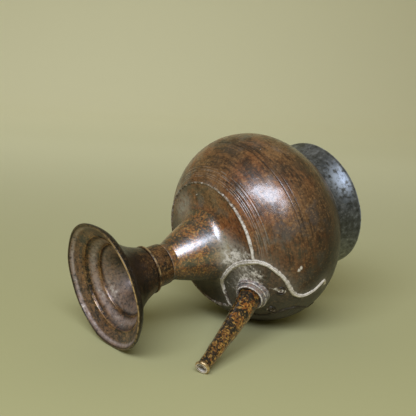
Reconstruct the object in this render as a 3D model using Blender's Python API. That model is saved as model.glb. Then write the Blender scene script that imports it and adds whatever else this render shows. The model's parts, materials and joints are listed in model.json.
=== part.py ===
"""A spouted bronze water pot that lies on its side, on its belly, mouth rim and spout.

The pot is turned and joined upright in its own axes: Z runs from the foot's face (0) up to the
mouth, and the spout leans out towards +X. An empty then lays the whole pot down on the table.
"""
import math

import bmesh
import bpy
from mathutils import Matrix, Vector

MM = 0.001

# Fits between neighbouring pieces
JOINT_GAP = 0.3 * MM
BELLY_LAP = 5.0 * MM
NECK_LAP = 4.0 * MM

# Body, a flattened globe in two halves
BELLY_RADIUS = 70.0 * MM
BELLY_HALF_HEIGHT = 54.3 * MM
BELLY_LIFT = 8.6 * MM
WALL = 2.4 * MM
BELLY_SEAM_RISE = 12.4 * MM
SHOULDER_RADIUS = 45.5 * MM
SHOULDER_ROUNDING = 4.0 * MM
DISH_DEPTH = 11.0 * MM

# Neck, a tapered tube let into the shoulder
NECK_SEAM_RADIUS = 27.5 * MM
NECK_BASE_RADIUS = 23.6 * MM
NECK_BASE_RISE = 8.8 * MM
NECK_SWELL = 0.7 * MM
NECK_TOP_RADIUS = 13.1 * MM
NECK_TAPER_LENGTH = 28.0 * MM
NECK_COLLAR_LENGTH = 5.0 * MM
NECK_SPIGOT_LENGTH = 8.0 * MM
NECK_SPIGOT_WALL = 1.2 * MM

# Ferrule between neck and mouth
FERRULE_STEP = 0.9 * MM
FERRULE_LENGTH = 11.3 * MM
FERRULE_SPIGOT_LENGTH = 8.2 * MM
FERRULE_SPIGOT_WALL = 1.9 * MM

# Flared mouth
MOUTH_RADIUS = 43.4 * MM
MOUTH_LENGTH = 37.4 * MM
MOUTH_BEAD_RADIUS = 16.7 * MM
MOUTH_BEAD_HEIGHT = 2.6 * MM
MOUTH_WAIST_STEP = 0.5 * MM
WAIST_FLARE = math.radians(16)
WAIST_REACH = 10.1 * MM
LIP_FLARE = math.radians(60.5)
LIP_REACH = 19.5 * MM
LIP_HEIGHT = 5.4 * MM
LIP_WALL = 1.7 * MM
LIP_LEAN = 2.9 * MM
LIP_ROUND = 0.5 * MM
DISH_WALL = 2.6 * MM
DISH_STEP = 1.5 * MM
OUTER_STEP_RADIUS = 32.3 * MM
INNER_STEP_RADIUS = 24.5 * MM
BOWL_FLARE = math.radians(55)
BOWL_REACH = 5.6 * MM
THROAT_FLARE = math.radians(30)
THROAT_REACH = 7.0 * MM
THROAT_DEPTH = 28.6 * MM

# Foot ring and its solder
FOOT_RIM_RADIUS = 48.9 * MM
FOOT_TOP_RADIUS = 45.0 * MM
FOOT_WALL = 2.5 * MM
FOOT_BAND_HEIGHT = 2.2 * MM
SOLDER_SIZE = 1.6 * MM

# Spout
SPOUT_BELOW_SHOULDER = 2.6 * MM
SPOUT_LEAN = math.radians(25.0)
SPOUT_LENGTH = 73.7 * MM
SPOUT_BOW = 1.2 * MM
SPOUT_ROOT_RADIUS = 8.1 * MM
SPOUT_MIDDLE_RADIUS = 6.3 * MM
SPOUT_MIDDLE = 0.45
SPOUT_TIP_RADIUS = 3.7 * MM
SPOUT_ROOT_WALL = 1.9 * MM
SPOUT_TIP_WALL = 1.2 * MM
SPOUT_ROOT_DEPTH = 3.6 * MM
SPOUT_LIP_RADIUS = 4.9 * MM
SPOUT_LIP_HEIGHT = 2.6 * MM
SPOUT_SPIGOT_STEP = 0.4 * MM
COLLAR_FLANGE_RADIUS = 11.6 * MM
COLLAR_FLANGE_HEIGHT = 2.2 * MM
COLLAR_RING_WIDTH = 1.5 * MM
COLLAR_HEIGHT = 5.0 * MM
COLLAR_SKIRT = 9.0 * MM

# Raised ornament, drawn along the body (towards the foot) and across it from the spout
CORD_WIDTH = 2.0 * MM
CORD_HEIGHT = 1.0 * MM
SCROLL_WIDTH = 2.2 * MM
SCROLL_HEIGHT = 1.1 * MM
LEAF_TOP = 26.1 * MM
LEAF_LEAN = 4.0 * MM
LEAF_HALF_WIDTH = 28.3 * MM
LEAF_LENGTH = 35.0 * MM
LEAF_WAIST = 7.0 * MM
TAIL_LENGTH = 19.0 * MM
TAIL_HALF_WIDTH = 15.4 * MM
CURL_ALONG = 17.8 * MM
CURL_ACROSS = 11.2 * MM
CURL_RADIUS = 3.8 * MM
CURL_EYE = 0.8 * MM
CURL_TURNS = 1.6
CURL_WIDTH = 1.1 * MM
CURL_HEIGHT = 0.9 * MM

# Facets
TURNED_SEGMENTS = 44
COLLAR_SEGMENTS = 24
SPOUT_SEGMENTS = 16
BEAD_SEGMENTS = 5

# Heights along the pot's axis that follow from the sizes above
BELLY_CENTRE = BELLY_LIFT + BELLY_HALF_HEIGHT
SHOULDER_Z = BELLY_CENTRE + BELLY_HALF_HEIGHT * math.sqrt(1 - (SHOULDER_RADIUS / BELLY_RADIUS) ** 2)
NECK_BASE_Z = SHOULDER_Z + NECK_BASE_RISE
NECK_TAPER_Z = NECK_BASE_Z + NECK_TAPER_LENGTH
NECK_TOP_Z = NECK_TAPER_Z + NECK_COLLAR_LENGTH
FERRULE_TOP_Z = NECK_TOP_Z + FERRULE_LENGTH
MOUTH_BASE_Z = FERRULE_TOP_Z + JOINT_GAP
MOUTH_Z = MOUTH_BASE_Z + MOUTH_LENGTH
THROAT_RADIUS = NECK_TOP_RADIUS - WALL
FERRULE_RADIUS = NECK_TOP_RADIUS + FERRULE_STEP
FERRULE_SPIGOT_RADIUS = THROAT_RADIUS + FERRULE_SPIGOT_WALL


# Curves
def bezier(start, start_handle, end_handle, end, steps):
    """Points along a cubic curve in the (radius, height) half plane, both ends included."""
    corners = [Vector(point) for point in (start, start_handle, end_handle, end)]
    points = []
    for index in range(steps + 1):
        t = index / steps
        s = 1 - t
        weights = (s ** 3, 3 * s * s * t, 3 * s * t * t, t ** 3)
        points.append(sum((w * c for w, c in zip(weights, corners)), Vector((0, 0))))
    return points


def smooth_path(points, steps):
    """A Catmull-Rom curve through hand-set points, with a few steps between each two."""
    ends = [2 * points[0] - points[1]] + points + [2 * points[-1] - points[-2]]
    path = []
    for before, start, end, after in zip(ends, ends[1:], ends[2:], ends[3:]):
        for index in range(steps):
            t = index / steps
            bend = 2 * before - 5 * start + 4 * end - after
            twist = 3 * start - before - 3 * end + after
            path.append(start + (t * (end - before) + t * t * bend + t ** 3 * twist) / 2)
    return path + [points[-1]]


# The outer line of body and neck, from the pole under the belly up to the neck's top
BELLY_STEPS = 240


def shell_line():
    line = []
    edge = math.acos(SHOULDER_RADIUS / BELLY_RADIUS)
    for index in range(BELLY_STEPS + 1):
        angle = -math.pi / 2 + (edge + math.pi / 2) * index / BELLY_STEPS
        line.append(Vector((BELLY_RADIUS * math.cos(angle),
                            BELLY_CENTRE + BELLY_HALF_HEIGHT * math.sin(angle))))
    slope = Vector((-BELLY_RADIUS * math.sin(edge), BELLY_HALF_HEIGHT * math.cos(edge))).normalized()
    base = Vector((NECK_BASE_RADIUS, NECK_BASE_Z))
    top = Vector((NECK_TOP_RADIUS, NECK_TAPER_Z))
    taper = (top - base).normalized()
    swell = NECK_SWELL * Vector((taper.y, -taper.x))
    dish = bezier(line[-1], line[-1] + SHOULDER_ROUNDING * slope, base - DISH_DEPTH * taper, base, 80)
    neck = bezier(base, base.lerp(top, 1 / 3) + swell, base.lerp(top, 2 / 3) + swell, top, 60)
    line += dish[1:] + neck[1:]
    line.append(Vector((NECK_TOP_RADIUS, NECK_TOP_Z)))
    return line


SHELL_LINE = shell_line()
SHELL_STATIONS = [0.0]
for earlier, later in zip(SHELL_LINE, SHELL_LINE[1:]):
    SHELL_STATIONS.append(SHELL_STATIONS[-1] + (later - earlier).length)
NECK_TOP_STATION = SHELL_STATIONS[-1]


def station_where(test, after=0.0):
    """The first station past another whose (radius, height) point passes the test."""
    return next(s for s, point in zip(SHELL_STATIONS, SHELL_LINE) if s >= after and test(point))


SHOULDER_STATION = SHELL_STATIONS[BELLY_STEPS]
BELLY_SEAM_STATION = station_where(lambda p: p.y >= BELLY_CENTRE + BELLY_SEAM_RISE)
NECK_SEAM_STATION = station_where(lambda p: p.x <= NECK_SEAM_RADIUS, SHOULDER_STATION)
SPOUT_STATION = SHOULDER_STATION - SPOUT_BELOW_SHOULDER


def shell_place(station):
    """Point and outward direction of the shell line at a station, in the half plane."""
    last = len(SHELL_STATIONS) - 2
    low = next((i - 1 for i, s in enumerate(SHELL_STATIONS) if s > station), last)
    low = max(0, min(last, low))
    span = SHELL_STATIONS[low + 1] - SHELL_STATIONS[low]
    along = SHELL_LINE[low + 1] - SHELL_LINE[low]
    point = SHELL_LINE[low] + along * ((station - SHELL_STATIONS[low]) / span)
    along.normalize()
    return point, Vector((along.y, -along.x))


def shell_point(station, inset):
    """A point on the shell at some depth under its outer skin."""
    point, outward = shell_place(station)
    place = point - inset * outward
    return Vector((max(place.x, 0.0), place.y))


def shell_run(start, stop, inset, steps):
    """Points along the shell between two stations at one depth, both ends included."""
    return [shell_point(start + (stop - start) * i / steps, inset) for i in range(steps + 1)]


# Where and which way the spout leaves the body
SPOUT_FOOT = Vector((shell_point(SPOUT_STATION, 0).x, 0, shell_point(SPOUT_STATION, 0).y))
SPOUT_AXIS = Vector((math.sin(SPOUT_LEAN), 0, math.cos(SPOUT_LEAN)))
SPOUT_FRAME = Matrix.Translation(SPOUT_FOOT) @ Matrix.Rotation(SPOUT_LEAN, 4, "Y")


# Making objects
def finish(name, bm, colour, roughness, metallic=1.0):
    """Turn a bmesh into a named, smooth-shaded object with a material of its own."""
    bmesh.ops.remove_doubles(bm, verts=bm.verts, dist=1e-6)
    bmesh.ops.recalc_face_normals(bm, faces=bm.faces)
    mesh = bpy.data.meshes.new(name)
    bm.to_mesh(mesh)
    bm.free()
    mesh.shade_smooth()
    mesh.set_sharp_from_angle(angle=math.radians(40))
    material = bpy.data.materials.new(name)
    material.use_nodes = True
    shader = material.node_tree.nodes["Principled BSDF"]
    shader.inputs["Base Color"].default_value = (*colour, 1)
    shader.inputs["Roughness"].default_value = roughness
    shader.inputs["Metallic"].default_value = metallic
    mesh.materials.append(material)
    piece = bpy.data.objects.new(name, mesh)
    bpy.context.scene.collection.objects.link(piece)
    return piece


def turned(outline, closed=True, segments=TURNED_SEGMENTS):
    """Spin a (radius, height) outline once round the pot's axis."""
    bm = bmesh.new()
    verts = [bm.verts.new((point[0], 0, point[1])) for point in outline]
    edges = [bm.edges.new(pair) for pair in zip(verts, verts[1:])]
    if closed:
        edges.append(bm.edges.new((verts[-1], verts[0])))
    bmesh.ops.spin(bm, geom=verts + edges, axis=(0, 0, 1), cent=(0, 0, 0),
                   steps=segments, angle=2 * math.pi, use_merge=True)
    return bm


def lofted(rings, ring_closed=False):
    """Skin a row of point rings, capped at both ends or joined end to end."""
    bm = bmesh.new()
    rows = [[bm.verts.new(point) for point in ring] for ring in rings]
    count = len(rows[0])
    pairs = list(zip(rows, rows[1:]))
    if ring_closed:
        pairs.append((rows[-1], rows[0]))
    for row, following in pairs:
        for index in range(count):
            after = (index + 1) % count
            bm.faces.new((row[index], row[after], following[after], following[index]))
    if not ring_closed:
        bm.faces.new(rows[0])
        bm.faces.new(rows[-1])
    return bm


def cutter(name, bm):
    """A hidden solid that another piece is cut with."""
    tool = finish(name, bm, (0.5, 0.5, 0.5), 0.5)
    tool.hide_render = True
    tool.display_type = "WIRE"
    return tool


def cut(piece, tool):
    modifier = piece.modifiers.new(tool.name, "BOOLEAN")
    modifier.operation = "DIFFERENCE"
    modifier.solver = "EXACT"
    modifier.object = tool


# Body halves, which lap at the belly
OUTER_HALF = WALL / 2 - JOINT_GAP / 2
INNER_HALF = WALL / 2 + JOINT_GAP / 2


def lower_bowl():
    tongue_end = BELLY_SEAM_STATION + BELLY_LAP
    outline = shell_run(0, BELLY_SEAM_STATION, 0, 10)
    outline += shell_run(BELLY_SEAM_STATION, tongue_end, INNER_HALF, 2)
    outline += shell_run(tongue_end, 0, WALL, 8)
    return finish("lower_bowl", turned(outline, closed=False), (0.16, 0.07, 0.03), 0.42)


def upper_bowl():
    start = BELLY_SEAM_STATION + JOINT_GAP
    lap_end = BELLY_SEAM_STATION + BELLY_LAP + JOINT_GAP
    neck_lap = NECK_SEAM_STATION - NECK_LAP - JOINT_GAP
    outline = shell_run(start, NECK_SEAM_STATION, 0, 13)
    outline += shell_run(NECK_SEAM_STATION, neck_lap, OUTER_HALF, 2)
    outline += shell_run(neck_lap, lap_end, WALL, 7)
    outline += shell_run(lap_end, start, OUTER_HALF, 2)
    return finish("upper_bowl", turned(outline), (0.2, 0.09, 0.035), 0.38)


# Neck, held by a flange under the edge of the shoulder's hole
def neck_cone():
    start = NECK_SEAM_STATION + JOINT_GAP
    tongue_end = NECK_SEAM_STATION - NECK_LAP
    spigot_top = NECK_TOP_Z + NECK_SPIGOT_LENGTH
    spigot = THROAT_RADIUS + NECK_SPIGOT_WALL
    outline = shell_run(start, NECK_TOP_STATION, 0, 10)
    outline += [(spigot, NECK_TOP_Z), (spigot, spigot_top), (THROAT_RADIUS, spigot_top)]
    outline += shell_run(NECK_TOP_STATION, tongue_end, WALL, 7)
    outline += shell_run(tongue_end, start, INNER_HALF, 2)
    return finish("neck_cone", turned(outline), (0.33, 0.19, 0.07), 0.42)


# Ferrule, a sleeve over the neck's spigot with a spigot of its own
def neck_ferrule():
    bottom = NECK_TOP_Z + JOINT_GAP
    socket = THROAT_RADIUS + NECK_SPIGOT_WALL + JOINT_GAP
    socket_top = NECK_TOP_Z + NECK_SPIGOT_LENGTH + JOINT_GAP
    spigot_top = FERRULE_TOP_Z + FERRULE_SPIGOT_LENGTH
    outline = [(FERRULE_RADIUS, bottom), (FERRULE_RADIUS, FERRULE_TOP_Z),
               (FERRULE_SPIGOT_RADIUS, FERRULE_TOP_Z), (FERRULE_SPIGOT_RADIUS, spigot_top),
               (THROAT_RADIUS, spigot_top), (THROAT_RADIUS, socket_top),
               (socket, socket_top), (socket, bottom)]
    return finish("neck_ferrule", turned(outline), (0.13, 0.07, 0.035), 0.5)


# Mouth, a heavy trumpet with a stepped dish inside its lip
def leaning(angle, length):
    """A step of some length that leans out from the pot's axis by an angle."""
    return length * Vector((math.sin(angle), math.cos(angle)))


def mouth_trumpet():
    socket = FERRULE_SPIGOT_RADIUS + JOINT_GAP
    socket_top = FERRULE_TOP_Z + FERRULE_SPIGOT_LENGTH + JOINT_GAP
    bead_top = MOUTH_BASE_Z + MOUTH_BEAD_HEIGHT
    bead_chamfer = MOUTH_BEAD_HEIGHT / 4
    waist = Vector((MOUTH_BEAD_RADIUS - MOUTH_WAIST_STEP, bead_top))
    lip_foot = Vector((MOUTH_RADIUS - LIP_LEAN, MOUTH_Z - LIP_HEIGHT))
    flare = bezier(waist, waist + leaning(WAIST_FLARE, WAIST_REACH),
                   lip_foot - leaning(LIP_FLARE, LIP_REACH), lip_foot, 8)
    outline = [(MOUTH_BEAD_RADIUS - bead_chamfer, MOUTH_BASE_Z),
               (MOUTH_BEAD_RADIUS, MOUTH_BASE_Z + bead_chamfer),
               (MOUTH_BEAD_RADIUS, bead_top - bead_chamfer)]
    outline += flare
    outline += [(MOUTH_RADIUS - LIP_LEAN / 3, MOUTH_Z - LIP_HEIGHT / 2),
                (MOUTH_RADIUS, MOUTH_Z - LIP_ROUND), (MOUTH_RADIUS - LIP_ROUND, MOUTH_Z),
                (MOUTH_RADIUS - LIP_WALL, MOUTH_Z),
                lip_foot + Vector((-LIP_WALL / 2, DISH_WALL))]
    for radius in (OUTER_STEP_RADIUS, INNER_STEP_RADIUS):
        floor = height_on(flare, radius) + DISH_WALL
        outline += [(radius + DISH_STEP / 4, floor + DISH_STEP), (radius - DISH_STEP / 4, floor)]
    bowl = Vector(outline[-1])
    throat = Vector((THROAT_RADIUS, MOUTH_Z - THROAT_DEPTH))
    outline += bezier(bowl, bowl - leaning(BOWL_FLARE, BOWL_REACH),
                      throat + leaning(THROAT_FLARE, THROAT_REACH), throat, 5)[1:]
    outline += [(THROAT_RADIUS, socket_top), (socket, socket_top), (socket, MOUTH_BASE_Z)]
    return finish("mouth_trumpet", turned(outline), (0.1, 0.06, 0.03), 0.45)


def height_on(line, radius):
    """Height at which a widening line reaches a radius."""
    for low, high in zip(line, line[1:]):
        if high.x >= radius:
            return low.y + (high.y - low.y) * (radius - low.x) / (high.x - low.x)
    return line[-1].y


# Foot ring, whose top edge follows the belly, and the solder in the corner outside it
FOOT_STATION = station_where(lambda p: p.x >= FOOT_TOP_RADIUS)
FOOT_INNER_STATION = station_where(lambda p: p.x >= FOOT_TOP_RADIUS - FOOT_WALL)


def foot_side(height):
    """Outer radius of the foot at a height: a low band, then a hollow flare up to the belly."""
    top = shell_point(FOOT_STATION, -JOINT_GAP)
    share = max(0.0, min(1.0, (height - FOOT_BAND_HEIGHT) / (top.y - FOOT_BAND_HEIGHT)))
    return top.x + (FOOT_RIM_RADIUS - top.x) * (1 - share) ** 2


def foot_ring():
    top = shell_point(FOOT_STATION, -JOINT_GAP)
    inner_top = shell_point(FOOT_INNER_STATION, -JOINT_GAP)
    steps = 3
    outline = [Vector((FOOT_RIM_RADIUS, 0))]
    for index in range(steps):
        height = FOOT_BAND_HEIGHT + (top.y - FOOT_BAND_HEIGHT) * index / steps
        outline.append(Vector((foot_side(height), height)))
    outline += [top, inner_top]
    for index in range(steps - 1, -1, -1):
        height = FOOT_BAND_HEIGHT + (inner_top.y - FOOT_BAND_HEIGHT) * index / steps
        outline.append(Vector((foot_side(height) - FOOT_WALL, height)))
    outline.append(Vector((FOOT_RIM_RADIUS - FOOT_WALL, 0)))
    return finish("foot_ring", turned(outline), (0.22, 0.21, 0.2), 0.5)


def foot_solder():
    corner = shell_point(FOOT_STATION + 2 * JOINT_GAP, -JOINT_GAP)
    on_belly = shell_point(FOOT_STATION + SOLDER_SIZE, -JOINT_GAP)
    low = corner.y - SOLDER_SIZE
    on_foot = Vector((foot_side(low) + JOINT_GAP, low))
    hollow = on_belly.lerp(on_foot, 0.5).lerp(corner, 0.2)
    outline = [corner, on_belly, hollow, on_foot]
    return finish("foot_solder", turned(outline), (0.5, 0.5, 0.48), 0.35)


# Spout tube, collar and lip
def spout_centre(share):
    """Point on the tube's middle line; shares below 0 lie straight under the body's skin."""
    outward = SPOUT_FRAME.to_3x3() @ Vector((1, 0, 0))
    bow = SPOUT_BOW * math.sin(math.pi * max(share, 0.0))
    return SPOUT_FOOT + SPOUT_AXIS * (SPOUT_LENGTH * share) + outward * bow


def spout_radius(share):
    """Outer radius of the tube: a smooth line through its root, middle and tip."""
    t = max(0.0, min(1.0, share))
    m = SPOUT_MIDDLE
    root = SPOUT_ROOT_RADIUS * (t - m) * (t - 1) / m
    middle = SPOUT_MIDDLE_RADIUS * t * (t - 1) / (m * (m - 1))
    tip = SPOUT_TIP_RADIUS * t * (t - m) / (1 - m)
    return root + middle + tip


def spout_circle(share, radius):
    """A ring of points square to the tube's middle line."""
    step = 0.01
    along = (spout_centre(share + step) - spout_centre(share - step)).normalized()
    across = Vector((0, 1, 0))
    side = across.cross(along).normalized()
    centre = spout_centre(share)
    ring = []
    for index in range(SPOUT_SEGMENTS):
        angle = 2 * math.pi * index / SPOUT_SEGMENTS
        ring.append(centre + radius * (math.cos(angle) * side + math.sin(angle) * across))
    return ring


SPIGOT_SHARE = 1 - SPOUT_LIP_HEIGHT / SPOUT_LENGTH
SPIGOT_RADIUS = SPOUT_TIP_RADIUS - SPOUT_SPIGOT_STEP


def spout_tube():
    root = -SPOUT_ROOT_DEPTH / SPOUT_LENGTH
    steps = 11
    shares = [root] + [SPIGOT_SHARE * index / steps for index in range(steps + 1)]
    outer = [spout_circle(share, spout_radius(share)) for share in shares]
    outer += [spout_circle(share, SPIGOT_RADIUS) for share in (SPIGOT_SHARE, 1)]
    inner = []
    for share in [1] + shares[:0:-2] + [root]:
        wall = SPOUT_ROOT_WALL + (SPOUT_TIP_WALL - SPOUT_ROOT_WALL) * max(share, 0)
        inner.append(spout_circle(share, min(spout_radius(share), SPOUT_ROOT_RADIUS) - wall))
    return finish("spout_tube", lofted(outer + inner, ring_closed=True), (0.2, 0.11, 0.04), 0.45)


def spout_lip():
    seat = SPIGOT_SHARE + JOINT_GAP / SPOUT_LENGTH
    bore = SPIGOT_RADIUS + JOINT_GAP
    rings = [spout_circle(seat, bore), spout_circle(seat, SPOUT_LIP_RADIUS - SPOUT_SPIGOT_STEP)]
    for share in (0.3, 0.7):
        rings.append(spout_circle(seat + (1 - seat) * share, SPOUT_LIP_RADIUS))
    rings += [spout_circle(1, SPOUT_LIP_RADIUS - SPOUT_SPIGOT_STEP), spout_circle(1, bore)]
    return finish("spout_lip", lofted(rings, ring_closed=True), (0.55, 0.36, 0.12), 0.3)


def spout_collar():
    bore = SPOUT_ROOT_RADIUS + JOINT_GAP
    ring = bore + COLLAR_RING_WIDTH
    chamfer = COLLAR_RING_WIDTH / 3
    outline = [(COLLAR_FLANGE_RADIUS, -COLLAR_SKIRT),
               (COLLAR_FLANGE_RADIUS, COLLAR_FLANGE_HEIGHT - chamfer),
               (COLLAR_FLANGE_RADIUS - chamfer, COLLAR_FLANGE_HEIGHT),
               (ring, COLLAR_FLANGE_HEIGHT), (ring, COLLAR_HEIGHT - chamfer),
               (ring - chamfer, COLLAR_HEIGHT), (bore, COLLAR_HEIGHT), (bore, -COLLAR_SKIRT)]
    collar = finish("spout_collar", turned(outline, segments=COLLAR_SEGMENTS), (0.26, 0.22, 0.2), 0.48)
    collar.matrix_world = SPOUT_FRAME
    return collar


def seat_spout(bowl, collar):
    """Cut the shoulder's hole for the tube, and the collar's underside to the body's curve."""
    reach = COLLAR_SKIRT
    hole = SPOUT_ROOT_RADIUS + JOINT_GAP
    drill = cutter("spout_hole", turned([(0, reach), (hole, reach), (hole, -reach), (0, -reach)],
                                        closed=False, segments=COLLAR_SEGMENTS))
    drill.matrix_world = SPOUT_FRAME
    skin = shell_run(0, NECK_TOP_STATION, -JOINT_GAP, 36)
    skin.append(Vector((0, NECK_TOP_Z)))
    belly = cutter("body_clearance", turned(skin, closed=False))
    cut(bowl, drill)
    cut(collar, belly)
    return [drill, belly]


# Raised ornament, half-round lines laid on the body
def on_body(along, across):
    """Body point and outward direction at a distance along and across from the spout's foot."""
    station = SPOUT_STATION - along
    point, outward = shell_place(station)
    turn = across / point.x
    place = Vector((point.x * math.cos(turn), point.x * math.sin(turn), point.y))
    normal = Vector((outward.x * math.cos(turn), outward.x * math.sin(turn), outward.y))
    return place, normal


def raised_line(path, width, height):
    """A half-round line along a path of (along, across) points, a fit's gap above the body."""
    places = [on_body(point.x, point.y) for point in path]
    rings = []
    for index, (place, normal) in enumerate(places):
        before = places[max(index - 1, 0)][0]
        after = places[min(index + 1, len(places) - 1)][0]
        side = normal.cross(after - before).normalized()
        foot = place + JOINT_GAP * normal
        ring = []
        for step in range(BEAD_SEGMENTS + 1):
            angle = math.pi * step / BEAD_SEGMENTS
            ring.append(foot + side * (width / 2 * math.cos(angle)) + normal * (height * math.sin(angle)))
        rings.append(ring)
    return lofted(rings)


def scroll_side():
    """One half of the leaf round the spout: from its top by the neck to the tail's hooked end."""
    tail = LEAF_LENGTH + TAIL_LENGTH
    spread = TAIL_HALF_WIDTH - LEAF_WAIST
    return [Vector(point) for point in (
        (-LEAF_TOP, 0),
        (-LEAF_TOP * 0.89, LEAF_HALF_WIDTH * 0.4),
        (-LEAF_TOP * 0.71, LEAF_HALF_WIDTH * 0.6),
        (-LEAF_TOP * 0.39, LEAF_HALF_WIDTH * 0.82),
        (-LEAF_TOP * 0.13, LEAF_HALF_WIDTH * 0.95),
        (LEAF_LENGTH * 0.1, LEAF_HALF_WIDTH),
        (LEAF_LENGTH * 0.27, LEAF_HALF_WIDTH * 0.97),
        (LEAF_LENGTH * 0.43, LEAF_HALF_WIDTH * 0.86),
        (LEAF_LENGTH * 0.56, LEAF_HALF_WIDTH * 0.72),
        (LEAF_LENGTH * 0.67, LEAF_WAIST + LEAF_HALF_WIDTH * 0.27),
        (LEAF_LENGTH * 0.8, LEAF_WAIST + LEAF_HALF_WIDTH * 0.08),
        (LEAF_LENGTH, LEAF_WAIST),
        (LEAF_LENGTH + TAIL_LENGTH * 0.47, LEAF_WAIST + spread * 0.43),
        (LEAF_LENGTH + TAIL_LENGTH * 0.79, TAIL_HALF_WIDTH),
        (LEAF_LENGTH + TAIL_LENGTH * 0.93, TAIL_HALF_WIDTH * 0.92),
        (tail, TAIL_HALF_WIDTH * 0.73))]


def mirrored(points):
    return [Vector((point.x, -point.y)) for point in points]


def leant(point):
    """The leaf's top leans to one side, as it was laid by hand."""
    share = (-point.x / LEAF_TOP - 0.15) / 0.5
    return Vector((point.x, point.y - LEAF_LEAN * min(max(share, 0), 1)))


def spout_scroll():
    side = scroll_side()
    path = smooth_path([leant(point) for point in mirrored(side)[::-1] + side[1:]], 3)
    bm = raised_line(path, SCROLL_WIDTH, SCROLL_HEIGHT)
    return finish("spout_scroll", bm, (0.34, 0.3, 0.24), 0.55)


def shoulder_cord():
    """A line round the shoulder that stops just short of the scroll on either side."""
    along = -SPOUT_BELOW_SHOULDER
    side = smooth_path(scroll_side(), 3)
    near = min(side, key=lambda point: abs(point.x - along))
    radius = on_body(along, 0)[0].x
    crossing = near.y / on_body(near.x, 0)[0].x
    start = crossing + (SCROLL_WIDTH / 2 + 2 * JOINT_GAP) / radius
    steps = 56
    turns = [start + (2 * math.pi - 2 * start) * index / steps for index in range(steps + 1)]
    bm = raised_line([Vector((along, turn * radius)) for turn in turns], CORD_WIDTH, CORD_HEIGHT)
    return finish("shoulder_cord", bm, (0.3, 0.24, 0.17), 0.5)


def curl(name, side):
    """A small spiral beside the leaf's middle line, below the spout."""
    steps = 20
    path = []
    for index in range(steps + 1):
        share = index / steps
        angle = 2 * math.pi * CURL_TURNS * share
        radius = CURL_EYE + (CURL_RADIUS - CURL_EYE) * share
        across = CURL_ACROSS + radius * math.cos(angle)
        path.append(Vector((CURL_ALONG + radius * math.sin(angle), side * across)))
    bm = raised_line(path, CURL_WIDTH, CURL_HEIGHT)
    return finish(name, bm, (0.42, 0.38, 0.32), 0.5)


# Laying the pot down
def lowest(points, down):
    return max(points, key=lambda point: point.dot(down))


def world_points(piece):
    view = bpy.context.evaluated_depsgraph_get()
    mesh = piece.evaluated_get(view).data
    return [piece.matrix_world @ vertex.co for vertex in mesh.vertices]


def lie_down(pieces, belly, mouth, tip):
    """Rest the pot on its belly, its mouth rim and its spout, with its mouth towards -X."""
    bpy.context.view_layer.update()
    groups = [[point for piece in group for point in world_points(piece)]
              for group in (belly, mouth, tip)]
    down = Vector((0.55, -0.8, 0.2)).normalized()
    for _ in range(24):
        feet = [lowest(group, down) for group in groups]
        plane = (feet[1] - feet[0]).cross(feet[2] - feet[0]).normalized()
        down = plane if plane.dot(down) > 0 else -plane
    up = -down
    forward = Vector((0, 0, -1))
    forward = (forward - up * forward.dot(up)).normalized()
    turn = Matrix((forward, up.cross(forward), up)).to_4x4()
    laid = [turn @ point for piece in pieces for point in world_points(piece)]
    low = Vector([min(point[axis] for point in laid) for axis in range(3)])
    high = Vector([max(point[axis] for point in laid) for axis in range(3)])
    return Matrix.Translation(-Vector(((low.x + high.x) / 2, (low.y + high.y) / 2, low.z))) @ turn


def build():
    for leftover in list(bpy.data.objects):
        bpy.data.objects.remove(leftover, do_unlink=True)
    lower = lower_bowl()
    upper = upper_bowl()
    collar = spout_collar()
    tools = seat_spout(upper, collar)
    mouth = mouth_trumpet()
    lip = spout_lip()
    pieces = [lower, upper, neck_cone(), neck_ferrule(), mouth, foot_ring(), foot_solder(),
              spout_tube(), collar, lip, shoulder_cord(), spout_scroll(),
              curl("curl_left", -1), curl("curl_right", 1)]
    table_place = lie_down(pieces, [lower, upper], [mouth], [lip])
    pot = bpy.data.objects.new("pot_on_its_side", None)
    bpy.context.scene.collection.objects.link(pot)
    for piece in pieces + tools:
        piece.parent = pot
    pot.matrix_world = table_place


build()
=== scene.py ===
import json
import math

import bmesh
import bpy
import numpy as np
from mathutils import Matrix, Vector
from mathutils.bvhtree import BVHTree


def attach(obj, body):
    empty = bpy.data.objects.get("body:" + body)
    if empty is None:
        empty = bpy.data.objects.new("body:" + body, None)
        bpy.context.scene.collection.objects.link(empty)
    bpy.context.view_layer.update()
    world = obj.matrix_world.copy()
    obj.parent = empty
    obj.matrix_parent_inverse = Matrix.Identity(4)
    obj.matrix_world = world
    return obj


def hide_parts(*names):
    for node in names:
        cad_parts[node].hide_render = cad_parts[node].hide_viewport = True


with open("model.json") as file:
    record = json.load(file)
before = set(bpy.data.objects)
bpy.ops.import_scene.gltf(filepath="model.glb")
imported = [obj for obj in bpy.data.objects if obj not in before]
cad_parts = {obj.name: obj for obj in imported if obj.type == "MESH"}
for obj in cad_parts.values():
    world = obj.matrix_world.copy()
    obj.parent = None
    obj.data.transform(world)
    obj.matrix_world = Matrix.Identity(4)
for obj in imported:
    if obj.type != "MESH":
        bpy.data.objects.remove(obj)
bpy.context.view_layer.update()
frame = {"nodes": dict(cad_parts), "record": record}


# How the pot lies
# The pot rests on its side, on belly, mouth rim and spout. Its axis comes from the foot's face, its middle
# from the foot ring and its spout side from the spout, so each piece is made in the pot's own axes:
# Z runs from foot to mouth and X points to the spout.
def points_of(mesh):
    """The mesh's corner points, one to a row."""
    flat = np.empty(len(mesh.vertices) * 3, np.float32)
    mesh.vertices.foreach_get("co", flat)
    return flat.reshape(-1, 3)


def middle_of(node):
    """The mean of a CAD node's different corner points."""
    return Vector(np.unique(points_of(frame["nodes"][node].data).round(6), axis=0).mean(0))


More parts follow.
